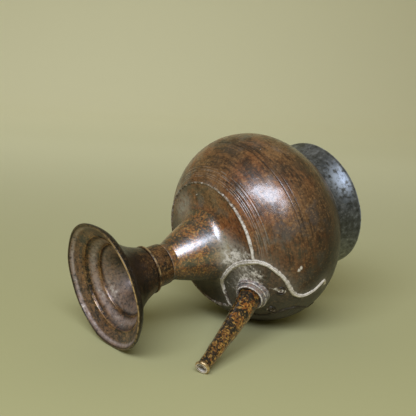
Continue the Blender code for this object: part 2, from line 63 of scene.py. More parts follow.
foot_face = frame["record"]["mounts"][0]
up = -Vector(foot_face["axis"]).normalized()
foot_middle = middle_of("foot_ring")
foot_centre = foot_middle + up * up.dot(Vector(foot_face["pos_m"]) - foot_middle)
towards_spout = middle_of("spout_tube") - foot_centre
towards_spout = (towards_spout - up * towards_spout.dot(up)).normalized()
POT = Matrix((towards_spout, up.cross(towards_spout), up)).transposed().to_4x4()
POT.translation = foot_centre
POT_BACK = POT.inverted()


# Body: lower and upper bowl
# Two bowls of bronze, cast and turned, then soldered into one globe at the belly. The lathe left scored
# lines round the shoulder and the belly, and age left a brown patina with worn and sooty places. The side
# that faces the ground is darkened further, as painted shade.
MM = 0.001
BELLY_RADIUS = 70.0 * MM
BELLY_HALF_HEIGHT = 54.3 * MM
BELLY_CENTRE = 8.6 * MM + BELLY_HALF_HEIGHT
WALL = 2.4 * MM
BELLY_SEAM_RISE = 12.4 * MM
SHOULDER_RADIUS = 45.5 * MM
SHOULDER_ROUNDING = 4.0 * MM
DISH_DEPTH = 11.0 * MM
NECK_SEAM_RADIUS = 27.5 * MM
NECK_BASE_RADIUS = 23.6 * MM
NECK_BASE_RISE = 8.8 * MM
NECK_SWELL = 0.7 * MM
NECK_TOP_RADIUS = 13.1 * MM
NECK_TAPER_LENGTH = 28.0 * MM
NECK_COLLAR_LENGTH = 5.0 * MM
BELLY_ROWS = 600
TAPER_ROWS = 160
COLLAR_ROWS = 20
LOWER_BELLY = slice(0, BELLY_ROWS // 2)
UPPER_BELLY = slice(BELLY_ROWS // 2, BELLY_ROWS)
SHOULDER_DISH = slice(BELLY_ROWS, BELLY_ROWS + TAPER_ROWS)
BODY_SEGMENTS = 256
INNER_ROWS = 30
SHOULDER_LINES = (101.1 * MM, 100.2 * MM, 99.4 * MM, 98.1 * MM, 97.5 * MM, 96.2 * MM)
BELLY_LINES = (77.2 * MM, 74.0 * MM)
LINE_DEPTH = 0.12 * MM
LINE_WIDTH = 0.32 * MM


def curve(start, start_handle, end_handle, end, steps):
    """Points along a cubic curve in the (radius, height) half plane, both ends included."""
    t = np.linspace(0, 1, steps + 1)[:, None]
    s = 1 - t
    return s ** 3 * start + 3 * s * s * t * start_handle + 3 * s * t * t * end_handle + t ** 3 * end


def shell_line():
    """The outer line of body and neck, from the pole under the belly to the neck's top."""
    edge = math.acos(SHOULDER_RADIUS / BELLY_RADIUS)
    angle = np.linspace(-math.pi / 2, edge, BELLY_ROWS)
    belly = np.stack([BELLY_RADIUS * np.cos(angle), BELLY_CENTRE + BELLY_HALF_HEIGHT * np.sin(angle)], 1)
    slope = np.array([-BELLY_RADIUS * math.sin(edge), BELLY_HALF_HEIGHT * math.cos(edge)])
    slope /= np.linalg.norm(slope)
    base = np.array([NECK_BASE_RADIUS, belly[-1, 1] + NECK_BASE_RISE])
    top = np.array([NECK_TOP_RADIUS, base[1] + NECK_TAPER_LENGTH])
    rising = top - base
    taper = rising / np.linalg.norm(rising)
    swell = NECK_SWELL * np.array([taper[1], -taper[0]])
    edge_point = belly[-1]
    dish = curve(edge_point, edge_point + SHOULDER_ROUNDING * slope, base - DISH_DEPTH * taper, base,
                 TAPER_ROWS)
    neck = curve(base, base + rising / 3 + swell, base + rising * 2 / 3 + swell, top, TAPER_ROWS)
    collar = np.linspace(top, top + np.array([0, NECK_COLLAR_LENGTH]), COLLAR_ROWS)
    return np.concatenate([belly, dish[1:], neck[1:], collar[1:]])


def distance_along(path):
    """How far each point of a path lies from its start."""
    return np.concatenate([[0], np.cumsum(np.linalg.norm(np.diff(path, axis=0), axis=1))])


SHELL = shell_line()
SHELL[0, 0] = 0
STATIONS = distance_along(SHELL)
SHELL_ALONG = np.gradient(SHELL, STATIONS, axis=0)


def at_heights(heights):
    """Stations of some heights on the upper half of the belly."""
    return np.interp(heights, SHELL[UPPER_BELLY, 1], STATIONS[UPPER_BELLY])


SHOULDER_STATION = STATIONS[BELLY_ROWS - 1]
BELLY_SEAM = at_heights(BELLY_CENTRE + BELLY_SEAM_RISE)
NECK_SEAM = np.interp(-NECK_SEAM_RADIUS, -SHELL[SHOULDER_DISH, 0], STATIONS[SHOULDER_DISH])
NECK_TOP = STATIONS[-1]


def on_shell(stations, inset=0.0):
    """Points of the shell at some depth under its outer skin, as (radius, height)."""
    point = np.stack([np.interp(stations, STATIONS, SHELL[:, k]) for k in (0, 1)], 1)
    along = np.stack([np.interp(stations, STATIONS, SHELL_ALONG[:, k]) for k in (0, 1)], 1)
    along /= np.linalg.norm(along, axis=1)[:, None]
    outward = np.stack([along[:, 1], -along[:, 0]], 1)
    place = point - np.asarray(inset)[..., None] * outward
    place[:, 0] = np.maximum(place[:, 0], 0)
    return place


def bell(values, middle, width):
    """1 in the middle, falling to 0 on both sides."""
    return np.exp(-((values - middle) / width) ** 2)


def ramp(values, start, end):
    """0 at the start and 1 at the end, straight between them and level beyond."""
    return np.clip((values - start) / (end - start), 0, 1)


def near_lines(stations, lines, width):
    """1 on a scored line, falling to 0 beside it."""
    gap = np.abs(np.asarray(stations)[:, None] - np.asarray(lines)[None, :]).min(1)
    return bell(gap, 0, width)


def turn_from(turn, middle):
    """Turn away from a direction round the pot's axis, between minus and plus half a turn."""
    return (turn - middle + math.pi) % (2 * math.pi) - math.pi


def lay(mesh, name, values, kind="FLOAT"):
    """Keep values on a mesh's points, as a named attribute."""
    layer = mesh.attributes.get(name)
    if layer is None:
        layer = mesh.attributes.new(name, kind, "POINT")
    layer.data.foreach_set("value" if kind == "FLOAT" else "vector", np.asarray(values, np.float32).ravel())


def read(piece, name):
    """The values of a piece's named attribute, one for each point."""
    values = np.empty(len(piece.data.vertices), np.float32)
    piece.data.attributes[name].data.foreach_get("value", values)
    return values


def paint(piece, name, values):
    """Lay a coat, from 0 to 1, on the piece's points, over what is there."""
    values = np.clip(values, 0, 1)
    if name in piece.data.attributes:
        values = np.maximum(values, read(piece, name))
    lay(piece.data, name, values)


def placed(name, data):
    """A new object in the scene, at the origin."""
    thing = bpy.data.objects.new(name, data)
    bpy.context.scene.collection.objects.link(thing)
    return thing


def turned(name, outline, values, segments, warp=None):
    """Spin a closed (radius, height) outline, walked up outside and down inside, round the pot's axis.
    values holds one number for each point of the outline, under the name of the attribute it becomes."""
    outline = np.asarray(outline)
    count = len(outline)
    turn = np.arange(segments) / segments * 2 * math.pi
    turn = np.where(turn > math.pi, turn - 2 * math.pi, turn)
    radius = np.repeat(outline[None, :, 0], segments, 0)
    height = np.repeat(outline[None, :, 1], segments, 0)
    if warp:
        radius, height = warp(turn[:, None], radius, height)
    points = np.stack([radius * np.cos(turn)[:, None], radius * np.sin(turn)[:, None], height], -1)
    row = np.arange(count)
    after = (row + 1) % count
    faces = []
    for step in range(segments):
        here = step * count
        there = (step + 1) % segments * count
        faces.append(np.stack([here + row, there + row, there + after, here + after], 1))
    mesh = bpy.data.meshes.new(name)
    mesh.from_pydata(points.reshape(-1, 3), [], np.concatenate(faces).tolist())
    mesh.transform(POT)
    for key, numbers in values.items():
        lay(mesh, key, np.tile(numbers, segments))
    lay(mesh, "turn", np.repeat(turn, count))
    bm = bmesh.new()
    bm.from_mesh(mesh)
    bmesh.ops.remove_doubles(bm, verts=bm.verts, dist=1e-7)
    bmesh.ops.recalc_face_normals(bm, faces=bm.faces)
    bm.to_mesh(mesh)
    bm.free()
    return placed(name, mesh)


class Wire:
    """What leaves a node, so that sums and products of it are written as such."""

    def __init__(self, tree, socket):
        self.tree = tree
        self.socket = socket

    def worked(self, operation, first, second=0.0):
        return wired(self.tree, "ShaderNodeMath", {0: first, 1: second}, operation=operation)

    def __add__(self, other):
        return self.worked("ADD", self, other)

    def __radd__(self, other):
        return self.worked("ADD", other, self)

    def __sub__(self, other):
        return self.worked("SUBTRACT", self, other)

    def __rsub__(self, other):
        return self.worked("SUBTRACT", other, self)

    def __mul__(self, other):
        return self.worked("MULTIPLY", self, other)

    def __rtruediv__(self, other):
        return self.worked("DIVIDE", other, self)

    def __abs__(self):
        return self.worked("ABSOLUTE", self)

    def at_least(self, other):
        return self.worked("MAXIMUM", self, other)


def wired(tree, kind, inputs=None, output=0, **settings):
    """Make a node with its settings, set or link its inputs, and give what leaves it."""
    made = tree.nodes.new(kind)
    for key, value in settings.items():
        setattr(made, key, value)
    for key, value in (inputs or {}).items():
        if isinstance(value, Wire):
            tree.links.new(value.socket, made.inputs[key])
        else:
            made.inputs[key].default_value = value
    return Wire(tree, made.outputs[output])


def vectors(operation, first, second):
    """Two vectors added, or multiplied with each other."""
    return wired(first.tree, "ShaderNodeVectorMath", {0: first, 1: second}, operation=operation)


def stretched(vector, scale):
    """A vector made longer or shorter."""
    return wired(vector.tree, "ShaderNodeVectorMath", {0: vector, "Scale": scale}, operation="SCALE")


def cloud(place, scale, detail=3.0, roughness=0.55):
    """Soft noise from 0 to 1, with scale in spots to the metre."""
    return wired(place.tree, "ShaderNodeTexNoise", {"Vector": place, "Scale": scale, "Detail": detail,
                                                    "Roughness": roughness})


def mixed(first, second, share):
    """Two values mixed, with some share of the second."""
    return first * (1 - share) + second * share


def rise(value, low, high, top=1.0):
    """0 below low, top above high, with a smooth slope between."""
    return wired(value.tree, "ShaderNodeMapRange", {"Value": value, "From Min": low, "From Max": high,
                                                    "To Max": top}, interpolation_type="SMOOTHSTEP")


def blend(share, under, over):
    """One colour laid over another."""
    under, over = [(*colour, 1) if isinstance(colour, tuple) else colour for colour in (under, over)]
    return wired(share.tree, "ShaderNodeMix", {0: share, 6: under, 7: over}, 2, data_type="RGBA",
                 clamp_factor=True)


def coat_of(tree, name):
    """How thickly a coat that was painted on the piece lies."""
    return wired(tree, "ShaderNodeAttribute", output="Fac", attribute_name=name)


# Aged bronze, in layers from the metal out: patina in patches, lathe streaks, soot on the skin, specks
# rubbed bright, soot in the pores, grime, worn edges and chalk. Soot, grime, wear and chalk follow coats
# that are painted on the piece; on some pieces the soot coat also carries painted shade, and the grime,
# wear and chalk coats painted highlights. A skin of wax and handling lies over all of it.
CHALK = (0.76, 0.69, 0.59)
CHALK_SHADE = (0.53, 0.48, 0.40)
SOOT = (0.011, 0.009, 0.006)
BUMP_DEPTH = 0.16 * MM


def aged_bronze(name, brown, deep, gold, rubbed, grain, soot, streaks, rough, patches=42.0, crisp=0.10,
                lean=0.0, tone=None, slate=None, fine=460.0, fleck=0.55, dull=(0.05, 0.045, 0.035),
                worn=(0.42, 0.36, 0.27), metal=0.12, gloss=0.85, coat=1.8, satin=0.27, even=0.4):
    """grain, patches and fine are in spots to the metre, and crisp and lean say how sharp the patches are
    and how much of them is deep. gloss, coat, satin and even are the cover, mirror, blur and evenness of
    the skin."""
    material = bpy.data.materials.new(name)
    material.use_nodes = True
    tree = material.node_tree
    shader = tree.nodes["Principled BSDF"]
    place = wired(tree, "ShaderNodeTexCoord", output="Object")
    pot = wired(tree, "ShaderNodeMapping", {"Vector": place, "Location": POT_BACK.translation,
                                            "Rotation": POT_BACK.to_euler()})
    # Streaks run round the axis: slow with the turn, fast along the outline
    flat = vectors("MULTIPLY", pot, (1, 1, 0))
    round_it = wired(tree, "ShaderNodeVectorMath", {0: flat}, operation="NORMALIZE")
    station = coat_of(tree, "station")
    threads = []
    for turns, rows in ((2.2, 230.0), (6.0, 700.0)):
        line = wired(tree, "ShaderNodeCombineXYZ", {"Z": station * rows})
        threads.append(cloud(vectors("ADD", stretched(round_it, turns), line), 1.0, 3.0, 0.6))
    broad_thread, thin_thread = threads
    mottle = cloud(pot, patches, 5.0, 0.62)
    cloudy = cloud(pot, fine, 4.0, 0.65)
    speckle = cloud(pot, grain, 3.0, 0.6)
    pores = cloud(pot, grain * 1.45, 2.0, 0.5)
    # Patina, light and deep brown in soft patches drawn out round the axis
    patch = mixed(mottle, cloudy, fleck)
    patch = mixed(patch, mixed(broad_thread, thin_thread, 0.6), 0.65 * streaks)
    colour = blend(rise(cloud(pot, 24.0, 2.0, 0.5), 0.40, 0.60), brown, tone or brown)
    colour = blend(rise(patch, 0.5 + lean - crisp, 0.5 + lean + crisp), deep, colour)
    colour = blend(rise(thin_thread, 0.52, 0.68, streaks * 0.65), colour, deep)
    if slate:
        colour = blend(rise(cloud(pot, 52.0, 4.0, 0.62), 0.53, 0.64, 0.7), colour, slate)
    # Soot on the skin, rubbed through in places; on some pieces this coat is painted shade
    black = coat_of(tree, "soot") * rise(mixed(mottle, cloudy, 0.5), 0.26, 0.48)
    colour = blend(black, colour, SOOT)
    # Specks rubbed down to the metal, and soot in the pores
    specks = rise(speckle, 0.50, 0.62, rubbed) * rise(mixed(cloudy, mottle, 0.4), 0.42, 0.60)
    specks = specks * (1.0 - black * 0.65)
    colour = blend(specks, colour, gold)
    holes = rise(pores, 0.51, 0.62, soot) * rise(cloudy, 0.60, 0.38)
    colour = blend(holes, colour, SOOT)
    # Grime, worn edges and chalk; on the mouth and foot, some of these coats are painted highlights
    crumb = cloud(pot, 420.0, 4.0, 0.65)
    grime = coat_of(tree, "dull") * rise(mixed(cloudy, crumb, 0.5), 0.26, 0.56)
    colour = blend(grime, colour, dull)
    edge = coat_of(tree, "worn") * rise(cloud(pot, 330.0), 0.34, 0.56)
    colour = blend(edge, colour, worn)
    chalky = rise(coat_of(tree, "chalk") + (crumb - 0.5) * 1.4, 0.28, 0.70)
    chalk = blend(rise(crumb, 0.38, 0.56), CHALK_SHADE, CHALK)
    colour = blend(chalky * 0.92, colour, chalk)
    # Specks and worn edges shine as metal, where nothing covers them
    shiny = (specks * 0.9).at_least(metal).at_least(edge * 0.5)
    cover = chalky.at_least((grime * 0.3).at_least(black * 0.7))
    # The skin of wax and handling is thin in places, so a highlight breaks up
    skin = (rise(cloud(pot, 105.0, 4.0, 0.72), 0.40, 0.56, 1 - even) + even) * gloss
    dead = chalky.at_least(black * 0.9)
    haze = cloudy * 0.22 + (rough - 0.11) + thin_thread * 0.10 + holes * 0.15 + grime * 0.15
    relief = thin_thread * 0.5 - holes * 0.5 + specks * 0.25 + chalky * crumb * 2.2
    bump = wired(tree, "ShaderNodeBump", {"Height": relief, "Strength": 0.5, "Distance": BUMP_DEPTH})
    linked = {"Base Color": colour, "Metallic": shiny * (1.0 - cover), "Coat Weight": (1.0 - dead) * skin,
              "Roughness": haze.at_least(chalky * 0.88), "Normal": bump, "Coat Normal": bump}
    for key, value in linked.items():
        tree.links.new(value.socket, shader.inputs[key])
    shader.inputs["Specular IOR Level"].default_value = 0.3
    shader.inputs["Coat Roughness"].default_value = satin
    shader.inputs["Coat IOR"].default_value = coat
    return material


def new_tree(name, sizes):
    """A node tree with named sizes and a material as its inputs, and what these give."""
    tree = bpy.data.node_groups.new(name, "GeometryNodeTree")
    face = tree.interface
    face.new_socket("Geometry", in_out="OUTPUT", socket_type="NodeSocketGeometry")
    face.new_socket("Geometry", in_out="INPUT", socket_type="NodeSocketGeometry")
    for key in sizes:
        face.new_socket(key, in_out="INPUT", socket_type="NodeSocketFloat")
    face.new_socket("Material", in_out="INPUT", socket_type="NodeSocketMaterial")
    return tree, {socket.name: Wire(tree, socket) for socket in tree.nodes.new("NodeGroupInput").outputs}


def end_tree(shape, material):
    """Make a tree's shape real, coat it with the material and give it out."""
    real = wired(shape.tree, "GeometryNodeRealizeInstances", {"Geometry": shape})
    coated = wired(shape.tree, "GeometryNodeSetMaterial", {"Geometry": real, "Material": material})
    shape.tree.links.new(coated.socket, shape.tree.nodes.new("NodeGroupOutput").inputs[0])
    return shape.tree


def applied(piece, tree, sizes):
    """Run a node tree on a piece, with its named inputs set, and keep the result as a plain mesh."""
    modifier = piece.modifiers.new(tree.name, "NODES")
    modifier.node_group = tree
    for item in tree.interface.items_tree:
        if item.in_out == "INPUT" and item.name in sizes:
            modifier[item.identifier] = sizes[item.name]
    view = bpy.context.evaluated_depsgraph_get()
    mesh = bpy.data.meshes.new_from_object(piece.evaluated_get(view), preserve_all_data_layers=True,
                                           depsgraph=view)
    piece.modifiers.remove(modifier)
    piece.data = mesh
    mesh.shade_smooth()
    mesh.set_sharp_from_angle(angle=math.radians(42))


# The hammer, the file and long use leave a turned piece a little uneven. The tree moves its skin in and
# out along its own direction by two soft noises: broad dents and small ripples.
def hand_worked_tree():
    tree, given = new_tree("hand_worked", ("Dent Depth", "Dent Size", "Ripple Depth", "Ripple Size", "Seed"))
    place = vectors("ADD", wired(tree, "GeometryNodeInputPosition"), given["Seed"])
    dents, ripples = [(cloud(place, 1.0 / given[key + " Size"], 1.0, 0.4) - 0.5) * given[key + " Depth"]
                      for key in ("Dent", "Ripple")]
    push = stretched(wired(tree, "GeometryNodeInputNormal"), dents + ripples)
    moved = wired(tree, "GeometryNodeSetPosition", {"Geometry": given["Geometry"], "Offset": push})
    return end_tree(moved, given["Material"])


HAND_WORKED = hand_worked_tree()


def hand_worked(piece, material, dent, dent_size, ripple, ripple_size, seed):
    """Dent and ripple a piece by depths and sizes in millimetres, and give it its material."""
    applied(piece, HAND_WORKED, {"Dent Depth": dent * MM, "Dent Size": dent_size * MM,
                                 "Ripple Depth": ripple * MM, "Ripple Size": ripple_size * MM,
                                 "Seed": seed, "Material": material})


BODY_BROWN = (0.290, 0.099, 0.026)
BODY_TONE = (0.228, 0.110, 0.038)
BODY_DEEP = (0.044, 0.021, 0.010)
BODY_GOLD = (0.52, 0.29, 0.11)
BODY_SLATE = (0.096, 0.072, 0.062)
BODY_WORN = (0.44, 0.37, 0.29)
GRIME = (0.34, 0.30, 0.235)
body_bronze = aged_bronze("body_bronze", BODY_BROWN, BODY_DEEP, BODY_GOLD, rubbed=0.38, grain=700.0,
                          soot=0.45, streaks=0.8, rough=0.36, crisp=0.09, tone=BODY_TONE, slate=BODY_SLATE,
                          fleck=0.44, dull=GRIME, worn=BODY_WORN, gloss=0.80, coat=1.98, satin=0.255)
pale_lines = at_heights(SHOULDER_LINES)
dark_lines = at_heights(BELLY_LINES)
UNDERSIDE = -0.98
GROUND_SHADE_TOP = at_heights(80 * MM)
GROUND_SHADE_DEPTH = 25 * MM


def bowl(name, node, start, stop, row):
    """One bowl of the body: its scored outer skin, and its plain inside at the wall's depth."""
    outer = np.linspace(start, stop, int((stop - start) / row) + 2)
    inner = np.linspace(stop, start, INNER_ROWS)
    scores = near_lines(outer, np.concatenate([pale_lines, dark_lines]), LINE_WIDTH)
    outline = np.concatenate([on_shell(outer, LINE_DEPTH * scores), on_shell(inner, WALL)])
    outside = np.concatenate([np.ones(len(outer)), np.zeros(INNER_ROWS)])
    piece = turned(name, outline, {"station": np.concatenate([outer, inner]), "skin": outside}, BODY_SEGMENTS)
    hand_worked(piece, body_bronze, dent=0.45, dent_size=34, ripple=0.10, ripple_size=9, seed=0.0)
    # The scored lines are broken, and worn away near the spout
    skin = read(piece, "skin")
    stations = read(piece, "station")
    around = read(piece, "turn")
    gaps = np.sin(5 * around + 2300 * stations) * np.sin(13 * around - 1700 * stations)
    broken = np.clip(0.6 + 0.6 * gaps, 0, 1)
    fresh = skin * broken * ramp(np.abs(around), 0.45, 0.80)
    paint(piece, "worn", 0.45 * fresh * near_lines(stations, pale_lines + 0.3 * MM, LINE_WIDTH))
    dark = 0.65 * fresh * near_lines(stations, pale_lines, LINE_WIDTH)
    dark = np.maximum(dark, 0.85 * (0.4 + 0.6 * broken) * near_lines(stations, dark_lines, LINE_WIDTH * 2))
    dark = np.maximum(dark, 0.25 * near_lines(stations, [dark_lines.mean()], 2.4 * MM))
    # Soot lies under the foot, and the side that faces the ground is darkened with soot colour as painted
    # shade
    from_ground = np.abs(turn_from(around, UNDERSIDE))
    low = ramp(stations, GROUND_SHADE_TOP, GROUND_SHADE_TOP - GROUND_SHADE_DEPTH)
    ground = np.clip((2.05 + 0.50 * low - from_ground) / 1.05, 0, 1)
    bottom = np.clip(1.4 - stations / (36 * MM), 0, 1)
    ground = 0.95 * ground * (1 - bottom) + 0.6 * bottom
    paint(piece, "soot", np.maximum(dark, ground) * skin)
    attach(piece, "root")
    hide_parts(node)
    return piece


body_lower = bowl("body_lower", "lower_bowl", 0.0, BELLY_SEAM, 0.33 * MM)
body_upper = bowl("body_upper", "upper_bowl", BELLY_SEAM, NECK_SEAM, 0.25 * MM)


# Neck cone
# The tapering neck, cast with the flange that holds it under the edge of the shoulder's hole and soldered
# there. Hands have rubbed it golden, with the dark patina left as fine specks.
NECK_SEGMENTS = 192
NECK_SPIGOT_LENGTH = 8.0 * MM
NECK_SPIGOT_WALL = 1.2 * MM
THROAT_RADIUS = NECK_TOP_RADIUS - WALL
NECK_TOP_Z = SHELL[-1, 1]
NECK_SPIGOT_RADIUS = THROAT_RADIUS + NECK_SPIGOT_WALL
NECK_SPIGOT_TOP = NECK_TOP_Z + NECK_SPIGOT_LENGTH
NECK_BROWN = (0.300, 0.092, 0.010)
NECK_DEEP = (0.014, 0.007, 0.004)
NECK_GOLD = (0.74, 0.42, 0.10)
NECK_WORN = (0.62, 0.55, 0.44)
neck_bronze = aged_bronze("neck_bronze", NECK_BROWN, NECK_DEEP, NECK_GOLD, rubbed=0.70, grain=640.0, soot=0.8,
                          streaks=0.15, rough=0.38, patches=90.0, crisp=0.055, lean=0.015, fine=700.0,
                          dull=GRIME, worn=NECK_WORN, gloss=0.9, coat=2.70, satin=0.285, even=0.78)
neck_outer = np.linspace(NECK_SEAM, NECK_TOP, 150)
neck_inner = np.linspace(NECK_TOP, NECK_SEAM, 40)
neck_spigot = np.array([[NECK_SPIGOT_RADIUS, NECK_TOP_Z], [NECK_SPIGOT_RADIUS, NECK_SPIGOT_TOP],
                        [THROAT_RADIUS, NECK_SPIGOT_TOP]])
neck_line = np.concatenate([on_shell(neck_outer), neck_spigot, on_shell(neck_inner, WALL)])
neck_station = np.concatenate([neck_outer, [NECK_TOP] * len(neck_spigot), neck_inner])
neck_edge = np.zeros(len(neck_line))
neck_edge[:len(neck_outer)] = near_lines(neck_outer, [NECK_TOP], 0.35 * MM)
neck = turned("neck", neck_line, {"station": neck_station, "worn": neck_edge}, NECK_SEGMENTS)
hand_worked(neck, neck_bronze, dent=0.30, dent_size=22, ripple=0.08, ripple_size=6, seed=0.0)
# Painted shade: the side of the neck that faces the ground is darkened with soot colour
neck_from_ground = np.abs(turn_from(read(neck, "turn"), UNDERSIDE))
paint(neck, "soot", 0.92 * ramp(neck_from_ground, 1.60, 0.80))
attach(neck, "root")
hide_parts("neck_cone")


# Neck ferrule
# A short turned sleeve that slips over the neck's spigot and enters the mouth, soldered at both ends. Its
# patina is nearly black, with gold showing through where it was handled.
FERRULE_SEGMENTS = 128
FERRULE_PLAY = 0.05 * MM
FERRULE_RADIUS = NECK_TOP_RADIUS + 0.9 * MM
FERRULE_BULGE = 0.25 * MM
FERRULE_FOOT_Z = NECK_TOP_Z + FERRULE_PLAY
FERRULE_TOP_Z = NECK_TOP_Z + 11.3 * MM
FERRULE_SPIGOT_RADIUS = THROAT_RADIUS + 1.9 * MM
FERRULE_SPIGOT_TOP = FERRULE_TOP_Z + 8.2 * MM
FERRULE_SOCKET_RADIUS = NECK_SPIGOT_RADIUS + FERRULE_PLAY
FERRULE_SOCKET_TOP = NECK_SPIGOT_TOP + 0.3 * MM
FERRULE_ROUND = 0.5 * MM
MOUTH_BROWN = (0.330, 0.145, 0.042)
MOUTH_DEEP = (0.012, 0.009, 0.007)
MOUTH_GOLD = (0.58, 0.34, 0.12)
MOUTH_SCALE_AND_SHEEN = (0.470, 0.375, 0.345)
MOUTH_WORN = (0.66, 0.43, 0.18)


def walked(points, row):
    """A line of (radius, height) corners with points set no further apart than a row."""
    path = [np.asarray(points[0], float)]
    for corner in points[1:]:
        corner = np.asarray(corner, float)
        steps = max(1, int(math.ceil(np.linalg.norm(corner - path[-1]) / row)))
        path += [path[-1] + (corner - path[-1]) * k / steps for k in range(1, steps)] + [corner]
    return np.array(path)


mouth_bronze = aged_bronze("mouth_bronze", MOUTH_BROWN, MOUTH_DEEP, MOUTH_GOLD, rubbed=0.45, grain=760.0,
                           soot=0.9, streaks=0.8, rough=0.33, patches=75.0, crisp=0.075, dull=MOUTH_SCALE_AND_SHEEN,
                           worn=MOUTH_WORN, metal=0.50, gloss=0.7, coat=1.65, satin=0.20)
ferrule_line = walked([(FERRULE_RADIUS - FERRULE_ROUND, FERRULE_FOOT_Z),
                       (FERRULE_RADIUS, NECK_TOP_Z + FERRULE_ROUND),
                       (FERRULE_RADIUS + FERRULE_BULGE, (NECK_TOP_Z + FERRULE_TOP_Z) / 2),
                       (FERRULE_RADIUS, FERRULE_TOP_Z - FERRULE_ROUND),
                       (FERRULE_RADIUS - FERRULE_ROUND, FERRULE_TOP_Z),
                       (FERRULE_SPIGOT_RADIUS, FERRULE_TOP_Z), (FERRULE_SPIGOT_RADIUS, FERRULE_SPIGOT_TOP),
                       (THROAT_RADIUS, FERRULE_SPIGOT_TOP), (THROAT_RADIUS, FERRULE_SOCKET_TOP),
                       (FERRULE_SOCKET_RADIUS, FERRULE_SOCKET_TOP),
                       (FERRULE_SOCKET_RADIUS, FERRULE_FOOT_Z)], 0.5 * MM)
ferrule_chalk = 0.72 * bell(ferrule_line[:, 1], NECK_TOP_Z, 0.35 * MM)
ferrule_soot = np.full(len(ferrule_line), 0.55)
ferrule = turned("ferrule", ferrule_line, {"station": distance_along(ferrule_line), "chalk": ferrule_chalk,
                                           "soot": ferrule_soot}, FERRULE_SEGMENTS)
hand_worked(ferrule, mouth_bronze, dent=0.25, dent_size=14, ripple=0.10, ripple_size=4, seed=1.0)
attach(ferrule, "root")
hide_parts("neck_ferrule")


# Mouth trumpet
# A heavy cast trumpet, turned inside to a stepped dish that catches the water. Its rim is worn wavy, its
# steps are rubbed bright, and grey scale has dried in rings inside.
MOUTH_SEGMENTS = 224
MOUTH_BASE_Z = FERRULE_TOP_Z + 0.3 * MM
MOUTH_Z = MOUTH_BASE_Z + 37.4 * MM
MOUTH_RADIUS = 43.4 * MM
MOUTH_PLAY = 0.05 * MM
BEAD_RADIUS = 16.7 * MM
BEAD_HEIGHT = 2.6 * MM
LIP_HEIGHT = 5.4 * MM
LIP_WALL = 1.7 * MM
LIP_LEAN = 2.9 * MM
DISH_WALL = 2.6 * MM
DISH_STEP = 1.5 * MM
OUTER_STEP = 32.3 * MM
INNER_STEP = 24.5 * MM
THROAT_DEPTH = 28.6 * MM
WAVY_FROM = 20 * MM


def leaning(degrees, length):
    """A step of some length that leans out from the pot's axis."""
    return length * np.array([math.sin(math.radians(degrees)), math.cos(math.radians(degrees))])


def wavy_rim(turn, radius, height):
    """The rim rises and dips by a fraction of a millimetre, more the further out."""
    share = ramp(radius, WAVY_FROM, MOUTH_RADIUS) ** 2
    wave = np.sin(3 * turn + 0.4) + 0.7 * np.sin(5 * turn + 2.1) + 0.5 * np.sin(9 * turn + 0.9)
    swing = 0.5 * np.sin(2 * turn + 1.0) + 0.4 * np.sin(7 * turn)
    return radius - share * (0.25 + 0.22 * swing) * MM, height + share * (0.30 * wave - 0.35) * MM


waist = np.array([BEAD_RADIUS - 0.5 * MM, MOUTH_BASE_Z + BEAD_HEIGHT])
lip_foot = np.array([MOUTH_RADIUS - LIP_LEAN, MOUTH_Z - LIP_HEIGHT])
flare = curve(waist, waist + leaning(16, 10.1 * MM), lip_foot - leaning(60.5, 19.5 * MM), lip_foot, 90)
bead_turn = np.linspace(-math.pi / 2, math.pi / 2, 12)
bead = np.stack([BEAD_RADIUS - BEAD_HEIGHT / 2 + BEAD_HEIGHT / 2 * np.cos(bead_turn),
                 MOUTH_BASE_Z + BEAD_HEIGHT / 2 * (1 + np.sin(bead_turn))], 1)
lip = curve(lip_foot, lip_foot + leaning(50, 2.0 * MM), np.array([MOUTH_RADIUS, MOUTH_Z - 2.4 * MM]),
            np.array([MOUTH_RADIUS, MOUTH_Z - 0.6 * MM]), 14)
rim_turn = np.linspace(0.1, math.pi, 9)
rim = np.stack([MOUTH_RADIUS - LIP_WALL / 2 + LIP_WALL / 2 * np.cos(rim_turn),
                MOUTH_Z - LIP_WALL / 2 * 0.7 + LIP_WALL / 2 * 0.7 * np.sin(rim_turn)], 1)
dish = [rim[-1], lip_foot + np.array([-LIP_WALL / 2, DISH_WALL])]
for radius in (OUTER_STEP, INNER_STEP):
    floor = np.interp(radius, flare[:, 0], flare[:, 1]) + DISH_WALL
    dish += [(radius + 0.55 * MM, floor + DISH_STEP - 0.25 * MM), (radius + 0.2 * MM, floor + DISH_STEP),
             (radius - 0.2 * MM, floor + DISH_STEP * 0.5), (radius - DISH_STEP / 4, floor)]
dish_bottom = np.array(dish[-1])
throat = np.array([THROAT_RADIUS, MOUTH_Z - THROAT_DEPTH])
bowl_line = curve(dish_bottom, dish_bottom - leaning(55, 5.6 * MM), throat + leaning(30, 7 * MM), throat, 40)
bore = [(THROAT_RADIUS, FERRULE_SPIGOT_TOP + MOUTH_PLAY),
        (FERRULE_SPIGOT_RADIUS + MOUTH_PLAY, FERRULE_SPIGOT_TOP + MOUTH_PLAY),
        (FERRULE_SPIGOT_RADIUS + MOUTH_PLAY, MOUTH_BASE_Z)]
outside = np.concatenate([bead, flare[2:], lip[1:], rim])
inside = np.concatenate([walked(dish, 0.4 * MM)[1:], bowl_line[1:], walked(bore, 1 * MM)])
mouth_line = np.concatenate([outside, inside])
is_inside = np.arange(len(mouth_line)) >= len(outside)
at = mouth_line[:, 0]


def ring_at(radius, width):
    """1 on a ring inside the mouth, falling to 0 beside it, with both sizes in millimetres."""
    return is_inside * bell(at, radius * MM, width * MM)


def ring_between(low, high, soft):
    """1 between two rings inside the mouth, with soft edges, and all sizes in millimetres."""
    return is_inside * np.clip((at / MM - low) / soft, 0, 1) * np.clip((high - at / MM) / soft, 0, 1)


